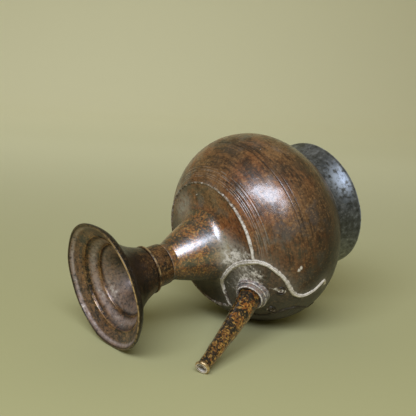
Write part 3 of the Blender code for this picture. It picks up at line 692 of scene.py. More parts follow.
outer_step = OUTER_STEP / MM
inner_step = INNER_STEP / MM
step_worn = ring_at(outer_step + 0.3, 0.25) + ring_at(inner_step + 0.3, 0.25)
on_bead = ~is_inside & (mouth_line[:, 1] < MOUTH_BASE_Z + BEAD_HEIGHT)
bead_worn = 0.55 * on_bead * bell(at, BEAD_RADIUS, 0.12 * MM)
mouth_dull = (0.12 * ring_between(40.8, 43.0, 0.6) + 0.12 * ring_between(33, 40, 2)
              + 0.85 * ring_at(40.3, 0.9)
              + 0.70 * ring_between(inner_step + 0.8, outer_step - 1.4, 2)
              + 0.62 * ring_between(9, inner_step - 0.4, 1.5))
mouth_chalk = 0.26 * ring_at(40.3, 1.0) + 0.22 * ring_at(28, 2.2)
# Soot darkens the trumpet's outside. Inside, dark rings just within each step are painted shade in the
# recesses; the throat is darker deep down, and the rim band is dark.
mouth_soot_and_shade = np.where(is_inside, 0.25, 0.78 + 0.20 * ramp(at, 18 * MM, 26 * MM))
mouth_soot_and_shade = (mouth_soot_and_shade + 0.5 * ring_at(outer_step - 0.9, 0.7) + 0.5 * ring_between(9, 17, 4)
              + 0.6 * ring_at(inner_step - 0.9, 0.7) + 0.3 * ring_at(38, 1.2)
              + 0.55 * ring_between(41.2, 43.2, 0.4))
mouth = turned("mouth", mouth_line, {"station": distance_along(mouth_line), "worn": bead_worn,
                                     "dull": np.clip(mouth_dull, 0, 1), "chalk": mouth_chalk,
                                     "soot": np.clip(mouth_soot_and_shade, 0, 1), "step": step_worn, "radius": at,
                                     "inner": is_inside, "height": mouth_line[:, 1]},
               MOUTH_SEGMENTS, wavy_rim)
hand_worked(mouth, mouth_bronze, dent=0.30, dent_size=26, ripple=0.10, ripple_size=6, seed=2.0)
# The rim's edge is painted bright, most strongly on one side
mouth_turn = read(mouth, "turn")
rim_worn = bell(read(mouth, "height"), MOUTH_Z, 0.36 * MM)
paint(mouth, "worn", rim_worn * (0.12 + 0.75 * bell(mouth_turn, 0.9, 0.8)))


def mouth_spot(turn, radius, width, depth):
    """1 in the middle of a soft spot inside the mouth, 0 outside it, at a radius in millimetres."""
    around = bell(turn_from(mouth_turn, turn), 0, width)
    return read(mouth, "inner") * around * bell(read(mouth, "radius"), radius * MM, depth * MM)


# Painted shade: the upper side of the mouth's bowl, which the rim shades, is darkened with soot colour;
# a darker patch low in the bowl and a small black mark are its own. Painted highlights: soft spots of pale
# scale on the bowl's lower side and on the rim band; the grey ring is also paler in one stretch.
shade = (mouth_spot(3.1, 14, 0.75, 9) + 0.7 * mouth_spot(-1.1, 15, 0.5, 8)
         + mouth_spot(-1.65, 30.2, 0.05, 1.2))
shade = np.clip(shade, 0, 1)
lay(mouth.data, "dull", read(mouth, "dull") * (1 - 0.85 * shade))
paint(mouth, "soot", 0.95 * shade)
pale = (mouth_spot(-1.85, 21, 0.32, 3.5) + mouth_spot(-1.9, 41.5, 0.22, 2)
        + 0.6 * mouth_spot(-0.95, 29, 0.5, 2.5))
paint(mouth, "dull", pale)
paint(mouth, "chalk", 0.42 * pale)
step_broken = 0.5 + 0.5 * np.sin(3 * mouth_turn + 1.0) * np.sin(7 * mouth_turn + 2.0)
paint(mouth, "worn", 0.9 * read(mouth, "step") * step_broken)
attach(mouth, "root")
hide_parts("mouth_trumpet")


# Foot ring
# A flared ring of grey, tinned metal, bent and soldered under the belly as a foot. It is dented, and its
# tin is mottled from bright to nearly black, with a bright bluish patch on one side as a painted highlight.
FOOT_SEGMENTS = 224
FOOT_RIM_RADIUS = 48.9 * MM
FOOT_TOP_RADIUS = 45.0 * MM
FOOT_WALL = 2.5 * MM
FOOT_BAND_HEIGHT = 2.2 * MM
FOOT_EDGE = 0.5 * MM
FOOT_GREY = (0.230, 0.240, 0.240)
FOOT_DEEP = (0.050, 0.053, 0.048)
FOOT_BRIGHT = (0.46, 0.48, 0.50)
FOOT_GRIME = (0.05, 0.05, 0.04)
FOOT_WEAR_AND_HIGHLIGHT = (0.66, 0.76, 0.92)
foot_station, inner_station = np.interp((FOOT_TOP_RADIUS, FOOT_TOP_RADIUS - FOOT_WALL), SHELL[LOWER_BELLY, 0],
                                        STATIONS[LOWER_BELLY])
foot_top, foot_inner_top = on_shell([foot_station, inner_station])


def foot_side(height):
    """Outer radius of the foot at a height: a low band, then a hollow flare up to the belly."""
    share = ramp(height, FOOT_BAND_HEIGHT, foot_top[1])
    return FOOT_TOP_RADIUS + (FOOT_RIM_RADIUS - FOOT_TOP_RADIUS) * (1 - share) ** 2


heights = np.linspace(FOOT_EDGE, foot_top[1], 44)
inner_heights = np.linspace(foot_inner_top[1], FOOT_EDGE, 36)
foot_line = np.concatenate([
    [(FOOT_RIM_RADIUS - FOOT_EDGE, 0.0), (FOOT_RIM_RADIUS - 0.15 * MM, 0.15 * MM)],
    np.stack([foot_side(heights), heights], 1), [foot_inner_top],
    np.stack([foot_side(inner_heights) - FOOT_WALL, inner_heights], 1),
    [(FOOT_RIM_RADIUS - FOOT_WALL + 0.4 * MM, 0.0)]])
foot_worn = 0.7 * bell(foot_line[:, 1], 0, 0.9 * MM)
foot_metal = aged_bronze("foot_metal", FOOT_GREY, FOOT_DEEP, FOOT_BRIGHT, rubbed=0.35, grain=380.0, soot=0.4,
                         streaks=0.4, rough=0.34, patches=60.0, crisp=0.15, fine=220.0,
                         dull=FOOT_GRIME, worn=FOOT_WEAR_AND_HIGHLIGHT, metal=0.75, gloss=0.3)
foot = turned("foot", foot_line, {"station": distance_along(foot_line), "worn": foot_worn}, FOOT_SEGMENTS)
hand_worked(foot, foot_metal, dent=0.9, dent_size=20, ripple=0.22, ripple_size=5, seed=3.0)
foot_turn = read(foot, "turn")
# Painted highlight: a bright bluish patch on one side of the foot, laid in the wear colour
paint(foot, "worn", 0.95 * bell(foot_turn, 1.24, 0.25) * bell(read(foot, "station"), 9 * MM, 7 * MM))
paint(foot, "soot", 0.55 * bell(foot_turn, 0.55, 0.38))
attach(foot, "root")
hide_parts("foot_ring")


# Foot solder
# The bright fillet of solder that fills the corner between foot and belly. It was run in hot and left as
# it set, so it is lumpy along its length.
SOLDER_SIZE = 1.6 * MM
SOLDER_PROUD = 0.15 * MM
SOLDER_GREY = (0.46, 0.46, 0.44)
SOLDER_DEEP = (0.16, 0.15, 0.13)
SOLDER_BRIGHT = (0.66, 0.66, 0.64)
on_belly = on_shell([foot_station + SOLDER_SIZE], -SOLDER_PROUD)[0]
under_belly = on_shell([foot_station + SOLDER_SIZE], 0.3 * MM)[0]
solder_low = foot_top[1] - SOLDER_SIZE
on_foot = np.array([foot_side(solder_low) + SOLDER_PROUD, solder_low])
solder_root = on_shell([foot_station], 0.2 * MM)[0] + np.array([-0.2 * MM, 0.0])
solder_face = curve(on_foot, on_foot + np.array([0.05, 0.7]) * MM, on_belly + np.array([-0.7, -0.1]) * MM,
                    on_belly, 10)
solder_line = np.concatenate([solder_face, [under_belly, solder_root, on_foot - np.array([0.5 * MM, 0.0])]])
solder = aged_bronze("solder", SOLDER_GREY, SOLDER_DEEP, SOLDER_BRIGHT, rubbed=0.5, grain=700.0, soot=0.3,
                     streaks=0.0, rough=0.34, metal=0.7)
fillet = turned("fillet", solder_line, {"station": distance_along(solder_line)}, FOOT_SEGMENTS)
hand_worked(fillet, solder, dent=0.40, dent_size=7, ripple=0.25, ripple_size=2.4, seed=4.0)
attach(fillet, "root")
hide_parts("foot_solder")


# Spout tube
# A slender tapered tube, cast hollow and filed round, set into the shoulder and leaning out from the neck.
# Its patina is the most broken on the pot: black, brown and gold in small patches, blackest at its root.
SPOUT_SEGMENTS = 72
SPOUT_BELOW_SHOULDER = 2.6 * MM
SPOUT_LEAN = math.radians(25.0)
SPOUT_LENGTH = 73.7 * MM
SPOUT_BOW = 1.2 * MM
SPOUT_ROOT_RADIUS = 8.1 * MM
SPOUT_ROOT_SHARE = -3.6 * MM / SPOUT_LENGTH
SPOUT_MIDDLE_RADIUS = 6.3 * MM
SPOUT_MIDDLE = 0.45
SPOUT_TIP_RADIUS = 3.7 * MM
SPOUT_LIP_HEIGHT = 2.6 * MM
SPIGOT_RADIUS = SPOUT_TIP_RADIUS - 0.4 * MM
SPIGOT_SHARE = 1 - SPOUT_LIP_HEIGHT / SPOUT_LENGTH
BORE_ROOT_RADIUS = SPOUT_ROOT_RADIUS - 1.9 * MM
BORE_TIP_RADIUS = SPOUT_TIP_RADIUS - 1.2 * MM
SPOUT_STATION = SHOULDER_STATION - SPOUT_BELOW_SHOULDER
SPOUT_BROWN = (0.240, 0.100, 0.022)
SPOUT_RED = (0.470, 0.150, 0.020)
SPOUT_DEEP = (0.010, 0.008, 0.006)
SPOUT_GOLD = (0.80, 0.48, 0.11)
SPOUT_GRIME = (0.310, 0.280, 0.265)
SPOUT_WORN = (0.62, 0.56, 0.46)
spout_foot = on_shell([SPOUT_STATION])[0]
SPOUT = POT @ Matrix.Translation((spout_foot[0], 0, spout_foot[1])) @ Matrix.Rotation(SPOUT_LEAN, 4, "Y")


def spout_radius(share):
    """Outer radius of the tube: a smooth line through its root, middle and tip."""
    t = np.clip(share, 0, 1)
    root = SPOUT_ROOT_RADIUS * (t - SPOUT_MIDDLE) * (t - 1) / SPOUT_MIDDLE
    middle = SPOUT_MIDDLE_RADIUS * t * (t - 1) / (SPOUT_MIDDLE * (SPOUT_MIDDLE - 1))
    return root + middle + SPOUT_TIP_RADIUS * t * (t - SPOUT_MIDDLE) / (1 - SPOUT_MIDDLE)


def round_spout(name, outline, values):
    """Spin an outline of (share of the length, radius) round the spout's bowed middle line."""
    outline = np.asarray(outline)
    along = outline[:, 0] * SPOUT_LENGTH
    piece = turned(name, np.stack([outline[:, 1], along], 1), dict(values, station=along), SPOUT_SEGMENTS)
    mesh = piece.data
    mesh.transform(POT_BACK)
    points = points_of(mesh)
    points[:, 0] += SPOUT_BOW * np.sin(math.pi * np.clip(points[:, 2] / SPOUT_LENGTH, 0, 1.1))
    mesh.vertices.foreach_set("co", points.ravel())
    mesh.transform(SPOUT)
    return piece


shares = np.linspace(SPOUT_ROOT_SHARE, SPIGOT_SHARE, 120)
back = np.linspace(1, SPOUT_ROOT_SHARE, 40)
bore_radius = BORE_ROOT_RADIUS + (BORE_TIP_RADIUS - BORE_ROOT_RADIUS) * np.clip(back, 0, 1)
tube_line = np.concatenate([np.stack([shares, spout_radius(shares)], 1),
                            [(SPIGOT_SHARE, SPIGOT_RADIUS), (1, SPIGOT_RADIUS)],
                            np.stack([back, bore_radius], 1)])
tube_scale = np.zeros(len(tube_line))
tube_scale[-len(back):] = 0.7 * ramp(back, 0.88, 0.96)
tube_soot = 0.20 + 0.45 * bell(tube_line[:, 0], 0.11, 0.13)
spout_bronze = aged_bronze("spout_bronze", SPOUT_BROWN, SPOUT_DEEP, SPOUT_GOLD, rubbed=0.85, grain=560.0,
                           soot=1.0, streaks=0.1, rough=0.30, patches=150.0, crisp=0.045, lean=0.020,
                           tone=SPOUT_RED, fine=620.0, dull=SPOUT_GRIME, worn=SPOUT_WORN, gloss=0.80,
                           coat=1.80, satin=0.21)
spout = round_spout("spout", tube_line, {"soot": tube_soot, "chalk": tube_scale})
hand_worked(spout, spout_bronze, dent=0.75, dent_size=10, ripple=0.35, ripple_size=3.6, seed=5.0)
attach(spout, "root")
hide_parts("spout_tube")


# Spout collar
# A stepped ring, cast with a broad flange under a narrow one, filed to the shoulder's curve and soldered
# down round the tube. Grey with age, its edges are chalky.
COLLAR_SEGMENTS = 128
FLANGE_RADIUS = 11.6 * MM
FLANGE_HEIGHT = 2.2 * MM
COLLAR_BORE = SPOUT_ROOT_RADIUS + 0.1 * MM
COLLAR_RING = COLLAR_BORE + 1.7 * MM
COLLAR_HEIGHT = 5.0 * MM
COLLAR_SINK_MM = 0.4
COLLAR_SINK = COLLAR_SINK_MM * MM
SEAT_HEIGHT = 0.2 * MM
body_mesh = body_upper.data
body_skin = BVHTree.FromPolygons([v.co for v in body_mesh.vertices], [p.vertices for p in body_mesh.polygons])
collar_line = walked([(FLANGE_RADIUS, -COLLAR_SINK), (FLANGE_RADIUS, FLANGE_HEIGHT - 0.8 * MM),
                      (FLANGE_RADIUS - 0.3 * MM, FLANGE_HEIGHT - 0.25 * MM),
                      (FLANGE_RADIUS - 0.8 * MM, FLANGE_HEIGHT),
                      (COLLAR_RING + 0.5 * MM, FLANGE_HEIGHT - 0.3 * MM),
                      (COLLAR_RING, FLANGE_HEIGHT), (COLLAR_RING, COLLAR_HEIGHT - 0.7 * MM),
                      (COLLAR_RING - 0.3 * MM, COLLAR_HEIGHT - 0.2 * MM),
                      (COLLAR_RING - 0.8 * MM, COLLAR_HEIGHT), (COLLAR_BORE, COLLAR_HEIGHT - 0.5 * MM),
                      (COLLAR_BORE, -COLLAR_SINK)], 0.35 * MM)
collar_under = walked([(COLLAR_BORE, -COLLAR_SINK), (FLANGE_RADIUS, -COLLAR_SINK)], 0.8 * MM)
collar_line = np.concatenate([collar_line, collar_under[1:-1]])
collar_out, collar_up = collar_line.T
ring_edge = bell(np.hypot(collar_out - COLLAR_RING, collar_up - COLLAR_HEIGHT), 0, 0.9 * MM)
flange_edge = bell(np.hypot(collar_out - FLANGE_RADIUS, collar_up - FLANGE_HEIGHT), 0, 0.9 * MM)
collar_foot = np.clip(1 - collar_up / (1.2 * MM), 0, 1) * (collar_out > FLANGE_RADIUS - 0.1 * MM)
collar_chalk = np.clip(0.66 * ring_edge + 0.66 * flange_edge + 0.5 * collar_foot, 0, 0.8)
collar = turned("collar", collar_line,
                {"station": distance_along(collar_line), "dull": np.full(len(collar_line), 0.75),
                 "soot": np.full(len(collar_line), 0.35), "chalk": collar_chalk}, COLLAR_SEGMENTS)
collar_mesh = collar.data
collar_mesh.transform(SPOUT @ POT_BACK)
spout_axis = (SPOUT.to_3x3() @ Vector((0, 0, 1))).normalized()
# The collar's underside is let down on to the shoulder's skin, along the spout
for vertex in collar_mesh.vertices:
    if (vertex.co - SPOUT.translation).dot(spout_axis) < SEAT_HEIGHT:
        seat = body_skin.ray_cast(vertex.co + spout_axis * 12 * MM, -spout_axis, 40 * MM)[0]
        if seat is not None:
            vertex.co = seat - spout_axis * COLLAR_SINK_MM * MM
hand_worked(collar, spout_bronze, dent=0.30, dent_size=9, ripple=0.16, ripple_size=2.6, seed=6.0)
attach(collar, "root")
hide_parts("spout_collar")


# Spout lip
# A small rolled ring, soldered on the tube's end so that the water leaves it cleanly. Its edge is worn
# bright, and grey scale fills the funnel inside it.
SPOUT_LIP_RADIUS = 4.9 * MM
LIP_ROLL = SPOUT_LIP_HEIGHT / 2
LIP_SOCKET = SPIGOT_RADIUS + 0.05 * MM
LIP_BROWN = (0.40, 0.24, 0.09)
LIP_DEEP = (0.06, 0.04, 0.02)
LIP_GOLD = (0.75, 0.52, 0.22)
LIP_WORN = (0.78, 0.55, 0.25)
lip_turn = np.linspace(-math.pi * 0.62, math.pi * 0.62, 18)
lip_middle = 1 - LIP_ROLL / SPOUT_LENGTH
lip_ring = np.stack([lip_middle + LIP_ROLL / SPOUT_LENGTH * np.sin(lip_turn),
                     SPOUT_LIP_RADIUS - LIP_ROLL + LIP_ROLL * np.cos(lip_turn)], 1)
lip_funnel = [(1.0 - 0.9 * MM / SPOUT_LENGTH, LIP_SOCKET), (SPIGOT_SHARE, LIP_SOCKET)]
lip_line = np.concatenate([lip_ring, lip_funnel])
lip_bright = ramp(lip_line[:, 1], SPOUT_LIP_RADIUS - 1.2 * MM, SPOUT_LIP_RADIUS - 0.6 * MM)
lip_scale = 0.85 * (1 - lip_bright) * (lip_line[:, 0] > lip_middle)
lip_bronze = aged_bronze("lip_bronze", LIP_BROWN, LIP_DEEP, LIP_GOLD, rubbed=0.8, grain=800.0, soot=0.6,
                         streaks=0.1, rough=0.28, worn=LIP_WORN, metal=0.7)
lip_end = round_spout("lip_end", lip_line, {"worn": 0.7 * lip_bright, "chalk": lip_scale})
hand_worked(lip_end, lip_bronze, dent=0.20, dent_size=5, ripple=0.10, ripple_size=1.6, seed=7.0)
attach(lip_end, "root")
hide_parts("spout_lip")


# Shoulder cord
# A raised line laid round the shoulder, like a thin cord, that runs into the leaf at the spout. It stands
# proud where it was least handled and is worn nearly flat elsewhere, with pale scale along it.
CORD_WIDTH = 2.0 * MM
CORD_HEIGHT = 1.0 * MM
CORD_STEPS = 480
LINE_SINK = 0.35 * MM
LEAF_TOP = 26.1 * MM
LEAF_LEAN = 4.0 * MM
LEAF_HALF_WIDTH = 28.3 * MM
LEAF_LENGTH = 35.0 * MM
LEAF_WAIST = 7.0 * MM
TAIL_LENGTH = 19.0 * MM
TAIL_HALF_WIDTH = 15.4 * MM
PATH_STEPS = 14
ORNAMENT_BROWN = (0.23, 0.16, 0.10)
ORNAMENT_DEEP = (0.08, 0.055, 0.034)
ORNAMENT_PALE = (0.48, 0.39, 0.28)
ORNAMENT_WORN = (0.52, 0.46, 0.37)


def smooth_path(points):
    """A Catmull-Rom curve through given points."""
    points = np.asarray(points, float)
    ends = np.concatenate([[2 * points[0] - points[1]], points, [2 * points[-1] - points[-2]]])
    t = np.linspace(0, 1, PATH_STEPS, endpoint=False)[:, None]
    path = []
    for before, start, end, after in zip(ends, ends[1:], ends[2:], ends[3:]):
        bend = 2 * before - 5 * start + 4 * end - after
        twist = 3 * start - before - 3 * end + after
        path.append(start + (t * (end - before) + t * t * bend + t ** 3 * twist) / 2)
    return np.concatenate(path + [points[-1:]])


def on_body(path):
    """Body points and outward directions at (along, across) from the spout's foot, in the pot's axes."""
    stations = SPOUT_STATION - path[:, 0]
    point = on_shell(stations)
    outward = (point - on_shell(stations, 1 * MM)) / MM
    turn = path[:, 1] / point[:, 0]
    return [np.stack([flat[:, 0] * np.cos(turn), flat[:, 0] * np.sin(turn), flat[:, 1]], 1)
            for flat in (point, outward)]


def raised_line_tree():
    """A half-round line along a route on the body, a little uneven in width and height."""
    tree, given = new_tree("raised_line", ("Width", "Height", "Sink", "Groove", "Unevenness", "Lump Size"))
    route = wired(tree, "GeometryNodeMeshToCurve", {"Mesh": given["Geometry"]})
    outward = wired(tree, "GeometryNodeInputNamedAttribute", {"Name": "outward"}, data_type="FLOAT_VECTOR")
    upright = wired(tree, "GeometryNodeSetCurveNormal", {"Curve": route, "Normal": outward}, mode="FREE")
    place = wired(tree, "GeometryNodeInputPosition")
    lumps = cloud(place, 1.0 / given["Lump Size"], 2.0, 0.5)
    fullness = wired(tree, "GeometryNodeInputNamedAttribute", {"Name": "fullness"}, data_type="FLOAT")
    size = (1.0 + (lumps - 0.5) * given["Unevenness"]) * fullness
    thick = wired(tree, "GeometryNodeSetCurveRadius", {"Curve": upright, "Radius": size})
    # The half-round section, with a groove beside its crest
    arc = wired(tree, "GeometryNodeCurveArc", {"Resolution": 19, "Radius": 1.0, "Start Angle": -math.pi / 2,
                                               "Sweep Angle": math.pi, "Connect Center": True})
    beside = wired(tree, "ShaderNodeSeparateXYZ", {0: place}, "Y")
    dip = rise(abs(beside + 0.25), 0.28, 0.0) * given["Groove"]
    lower = wired(tree, "ShaderNodeCombineXYZ", {"X": dip * -1.0})
    arc = wired(tree, "GeometryNodeSetPosition", {"Geometry": arc, "Offset": lower})
    scale = wired(tree, "ShaderNodeCombineXYZ", {"X": given["Height"] + given["Sink"],
                                                 "Y": given["Width"] * 0.5, "Z": 1.0})
    shift = wired(tree, "ShaderNodeCombineXYZ", {"X": given["Sink"] * -1.0})
    section = wired(tree, "GeometryNodeTransform", {"Geometry": arc, "Scale": scale, "Translation": shift})
    swept = wired(tree, "GeometryNodeCurveToMesh", {"Curve": thick, "Profile Curve": section,
                                                    "Fill Caps": True, "Scale": size})
    return end_tree(swept, given["Material"])


RAISED_LINE = raised_line_tree()
ornament = aged_bronze("ornament", ORNAMENT_BROWN, ORNAMENT_DEEP, ORNAMENT_PALE, rubbed=0.4, grain=600.0,
                       soot=0.45, streaks=0.0, rough=0.45, worn=ORNAMENT_WORN, gloss=0.3)


def raised_line(name, node, route, width, height, groove, uneven, lump):
    """Lay a route of (along, across, fullness) on the body as a raised line."""
    place, outward = on_body(route)
    turn = POT.to_3x3()
    mesh = bpy.data.meshes.new(name)
    mesh.from_pydata([POT @ Vector(p) for p in place], [(k, k + 1) for k in range(len(route) - 1)], [])
    lay(mesh, "outward", [(turn @ Vector(n)).normalized() for n in outward], "FLOAT_VECTOR")
    lay(mesh, "fullness", route[:, 2])
    piece = placed(name, mesh)
    applied(piece, RAISED_LINE, {"Width": width, "Height": height, "Sink": LINE_SINK, "Groove": groove,
                                 "Unevenness": uneven, "Lump Size": lump, "Material": ornament})
    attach(piece, "root")
    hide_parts(node)
    return piece


def scroll_side():
    """One half of the leaf round the spout: from its top by the neck to the tail's hooked end."""
    spread = TAIL_HALF_WIDTH - LEAF_WAIST
    return np.array([
        (-LEAF_TOP, 0),
        (-LEAF_TOP * 0.89, LEAF_HALF_WIDTH * 0.4),
        (-LEAF_TOP * 0.71, LEAF_HALF_WIDTH * 0.6),
        (-LEAF_TOP * 0.39, LEAF_HALF_WIDTH * 0.82),
        (-LEAF_TOP * 0.13, LEAF_HALF_WIDTH * 0.95),
        (LEAF_LENGTH * 0.1, LEAF_HALF_WIDTH),
        (LEAF_LENGTH * 0.27, LEAF_HALF_WIDTH * 0.97),
        (LEAF_LENGTH * 0.43, LEAF_HALF_WIDTH * 0.86),
        (LEAF_LENGTH * 0.56, LEAF_HALF_WIDTH * 0.72),
        (LEAF_LENGTH * 0.67, LEAF_WAIST + LEAF_HALF_WIDTH * 0.27),
        (LEAF_LENGTH * 0.8, LEAF_WAIST + LEAF_HALF_WIDTH * 0.08),
        (LEAF_LENGTH, LEAF_WAIST),
        (LEAF_LENGTH + TAIL_LENGTH * 0.47, LEAF_WAIST + spread * 0.43),
        (LEAF_LENGTH + TAIL_LENGTH * 0.79, TAIL_HALF_WIDTH),
        (LEAF_LENGTH + TAIL_LENGTH * 0.93, TAIL_HALF_WIDTH * 0.92),
        (LEAF_LENGTH + TAIL_LENGTH, TAIL_HALF_WIDTH * 0.73)])


def flattened(points):
    """Where points on the body lie, as (along, across) from the spout's foot."""
    radius = np.hypot(points[:, 0], points[:, 1])
    nearest = np.array([np.hypot(SHELL[:, 0] - r, SHELL[:, 1] - z).argmin()
                        for r, z in zip(radius, points[:, 2])])
    across = np.arctan2(points[:, 1], points[:, 0]) * SHELL[nearest, 0]
    return np.stack([SPOUT_STATION - STATIONS[nearest], across], 1)


def flat_places(piece):
    """Where a raised line's points lie, as (along, across) from the spout's foot."""
    turn = np.array(POT_BACK.to_3x3()).T
    return flattened(points_of(piece.data) @ turn + np.array(POT_BACK.translation))


half_leaf = smooth_path(scroll_side())
cord_along = -SPOUT_BELOW_SHOULDER
meeting = half_leaf[np.abs(half_leaf[:, 0] - cord_along).argmin()]
cord_radius = on_shell([SHOULDER_STATION])[0][0]
cord_start = meeting[1] / on_shell([SPOUT_STATION - meeting[0]])[0][0]
cord_turn = np.linspace(cord_start, 2 * math.pi - cord_start, CORD_STEPS)
from_leaf = np.minimum(cord_turn - cord_start, 2 * math.pi - cord_start - cord_turn) * cord_radius
cord_full = 0.78 + 0.42 * bell(from_leaf, 16 * MM, 24 * MM)
cord_route = np.stack([np.full(CORD_STEPS, cord_along), cord_turn * cord_radius, cord_full], 1)
cord = raised_line("cord", "shoulder_cord", cord_route, CORD_WIDTH, CORD_HEIGHT, groove=0.0, uneven=0.5,
                   lump=5 * MM)
cord_place = flat_places(cord)[:, 1] / cord_radius
paint(cord, "chalk", 0.32 + 0.42 * bell(cord_place, cord_start, 0.85))
paint(cord, "soot", 0.6 * bell(cord_place, -cord_start, 0.75))


# Spout scroll
# A leaf-shaped raised line round the spout with a forked tail, laid on in soft wire, beaten to a double
# ridge and soldered. Thick chalky scale covers it, mostly on one side.
SCROLL_WIDTH = 3.1 * MM
SCROLL_HEIGHT = 1.1 * MM


def leant(path):
    """The leaf's top leans to one side, as it was laid by hand."""
    share = np.clip((-path[:, 0] / LEAF_TOP - 0.15) / 0.5, 0, 1)
    return np.stack([path[:, 0], path[:, 1] - LEAF_LEAN * share], 1)


def averaged(values, reach):
    """Each point of a line moved to the mean of those around it."""
    padded = np.concatenate([np.repeat(values[:1], reach, 0), values, np.repeat(values[-1:], reach, 0)])
    share = np.full(2 * reach + 1, 1 / (2 * reach + 1))
    return np.stack([np.convolve(column, share, "valid") for column in padded.T], 1)


def eased(path):
    """The top of the leaf with its corners eased, as wire bends, and laid back on the body."""
    share = np.clip((6 * MM - path[:, :1]) / (14 * MM), 0, 1)
    place = on_body(path)[0]
    for step in range(4):
        place = place + share * (averaged(place, 18) - place)
    return path + share * (averaged(flattened(place), 4) - path)


def scale_share(places):
    """How thickly scale lies along the leaf: full on one side and at the top, little on the other."""
    far = ramp(places[:, 1], -1 * MM, -6 * MM)
    low = 0.55 * ramp(places[:, 0], -18 * MM, -9 * MM) + 0.42 * ramp(places[:, 0], 0, 10 * MM)
    return 1 - far * low


def gap_to(points, path):
    """Distance from each of many points to the nearest point of a close-set path."""
    best = np.empty(len(points))
    batch = 4000
    for start in range(0, len(points), batch):
        part = points[start:start + batch]
        best[start:start + batch] = np.linalg.norm(part[:, None, :] - path[None, :, :], axis=2).min(1)
    return best


far_side = scroll_side()[::-1] * np.array([1, -1])
whole_leaf = eased(smooth_path(leant(np.concatenate([far_side, scroll_side()[1:]]))))
leaf_along, leaf_across = whole_leaf.T
leaf_full = (1.0 - 0.30 * np.clip((leaf_along - LEAF_LENGTH) / TAIL_LENGTH, 0, 1)
             + 0.28 * bell(leaf_along, -9 * MM, 13 * MM) * (leaf_across > 0)
             - 0.22 * np.clip((leaf_along + 14 * MM) / (12 * MM), 0, 1) * (leaf_across < 0))
scroll_route = np.concatenate([whole_leaf, leaf_full[:, None]], 1)
leaf_scroll = raised_line("leaf_scroll", "spout_scroll", scroll_route, SCROLL_WIDTH, SCROLL_HEIGHT,
                          groove=0.4, uneven=0.8, lump=4 * MM)
scroll_places = flat_places(leaf_scroll)
scroll_share = scale_share(scroll_places)
from_crest = gap_to(scroll_places, whole_leaf) / (SCROLL_WIDTH / 2)
paint(leaf_scroll, "chalk", 0.94 * scroll_share - 0.34 * from_crest ** 2)
paint(leaf_scroll, "soot", 0.9 * (1 - scroll_share))


# Curls
# Two small spirals of bronze wire, one on each side below the spout, soldered down like the leaf. Scale is
# left on their middle, and soot on the rest.
CURL_ALONG = 17.8 * MM
CURL_ACROSS = 11.2 * MM
CURL_RADIUS = 3.8 * MM
CURL_EYE = 0.8 * MM
CURL_TURNS = 1.6
CURL_WIDTH = 1.1 * MM
CURL_HEIGHT = 0.9 * MM
CURL_STEPS = 80
CURL_FULL = 0.9
for name, node, side, scale in (("curl_far", "curl_left", -1, 0.34), ("curl_near", "curl_right", 1, 0.70)):
    share = np.linspace(0, 1, CURL_STEPS)
    curl_radius = CURL_EYE + (CURL_RADIUS - CURL_EYE) * share
    angle = 2 * math.pi * CURL_TURNS * share
    curl_route = np.stack([CURL_ALONG + curl_radius * np.sin(angle),
                           side * (CURL_ACROSS + curl_radius * np.cos(angle)),
                           np.full(CURL_STEPS, CURL_FULL)], 1)
    curl = raised_line(name, node, curl_route, CURL_WIDTH, CURL_HEIGHT, groove=0.0, uneven=0.4, lump=3 * MM)
    caught = bell(np.abs(flat_places(curl)[:, 1]), CURL_ACROSS, 1.5 * MM)
    paint(curl, "chalk", scale * caught)
    paint(curl, "soot", 0.95 * (1 - caught))


# Scale and grime in the corners
# Lime scale has dried along the raised lines and where neck, cord and leaf meet. The field inside the leaf
# and the hollow round the neck are dull with grime, and so is the neck's seam.
FLECKS = ((28.2, 29.2, 1.2, 1.5), (29.7, 31.3, 1.2, 1.6), (39.6, 126.4, 0.7, 1.0), (-11.4, 88.8, 0.6, 0.8),
          (50.1, 57.6, 0.8, 0.8))
LEAF_REACH = 62 * MM
LEAF_REACH_TURN = 1.3


def inside_leaf(points):
    """Which (along, across) points lie inside the leaf's closed outline."""
    loop = whole_leaf[np.abs(whole_leaf[:, 0]) <= LEAF_LENGTH]
    within = np.zeros(len(points), bool)
    for (x0, y0), (x1, y1) in zip(loop, np.roll(loop, -1, axis=0)):
        crosses = (y0 > points[:, 1]) != (y1 > points[:, 1])
        with np.errstate(divide="ignore", invalid="ignore"):
            at_x = x0 + (points[:, 1] - y0) * (x1 - x0) / (y1 - y0)
        within ^= crosses & (points[:, 0] < at_x)
    return within


def spot(places, along, across, length, width):
    """1 in the middle of a soft oval spot on the body, 0 outside it, with all sizes in millimetres."""
    return bell(places[:, 0], along * MM, length * MM) * bell(places[:, 1], across * MM, width * MM)


def slanting_patch(places, beside, beyond, length, width):
    """A long patch across the corner of neck and leaf, flat in its middle, with all sizes in millimetres."""
    to_side = (places[:, 0] + places[:, 1]) / math.sqrt(2)
    outwards = (places[:, 1] - places[:, 0]) / math.sqrt(2)
    return np.exp(-((to_side - beside * MM) / (length * MM)) ** 4) * bell(outwards, beyond * MM, width * MM)


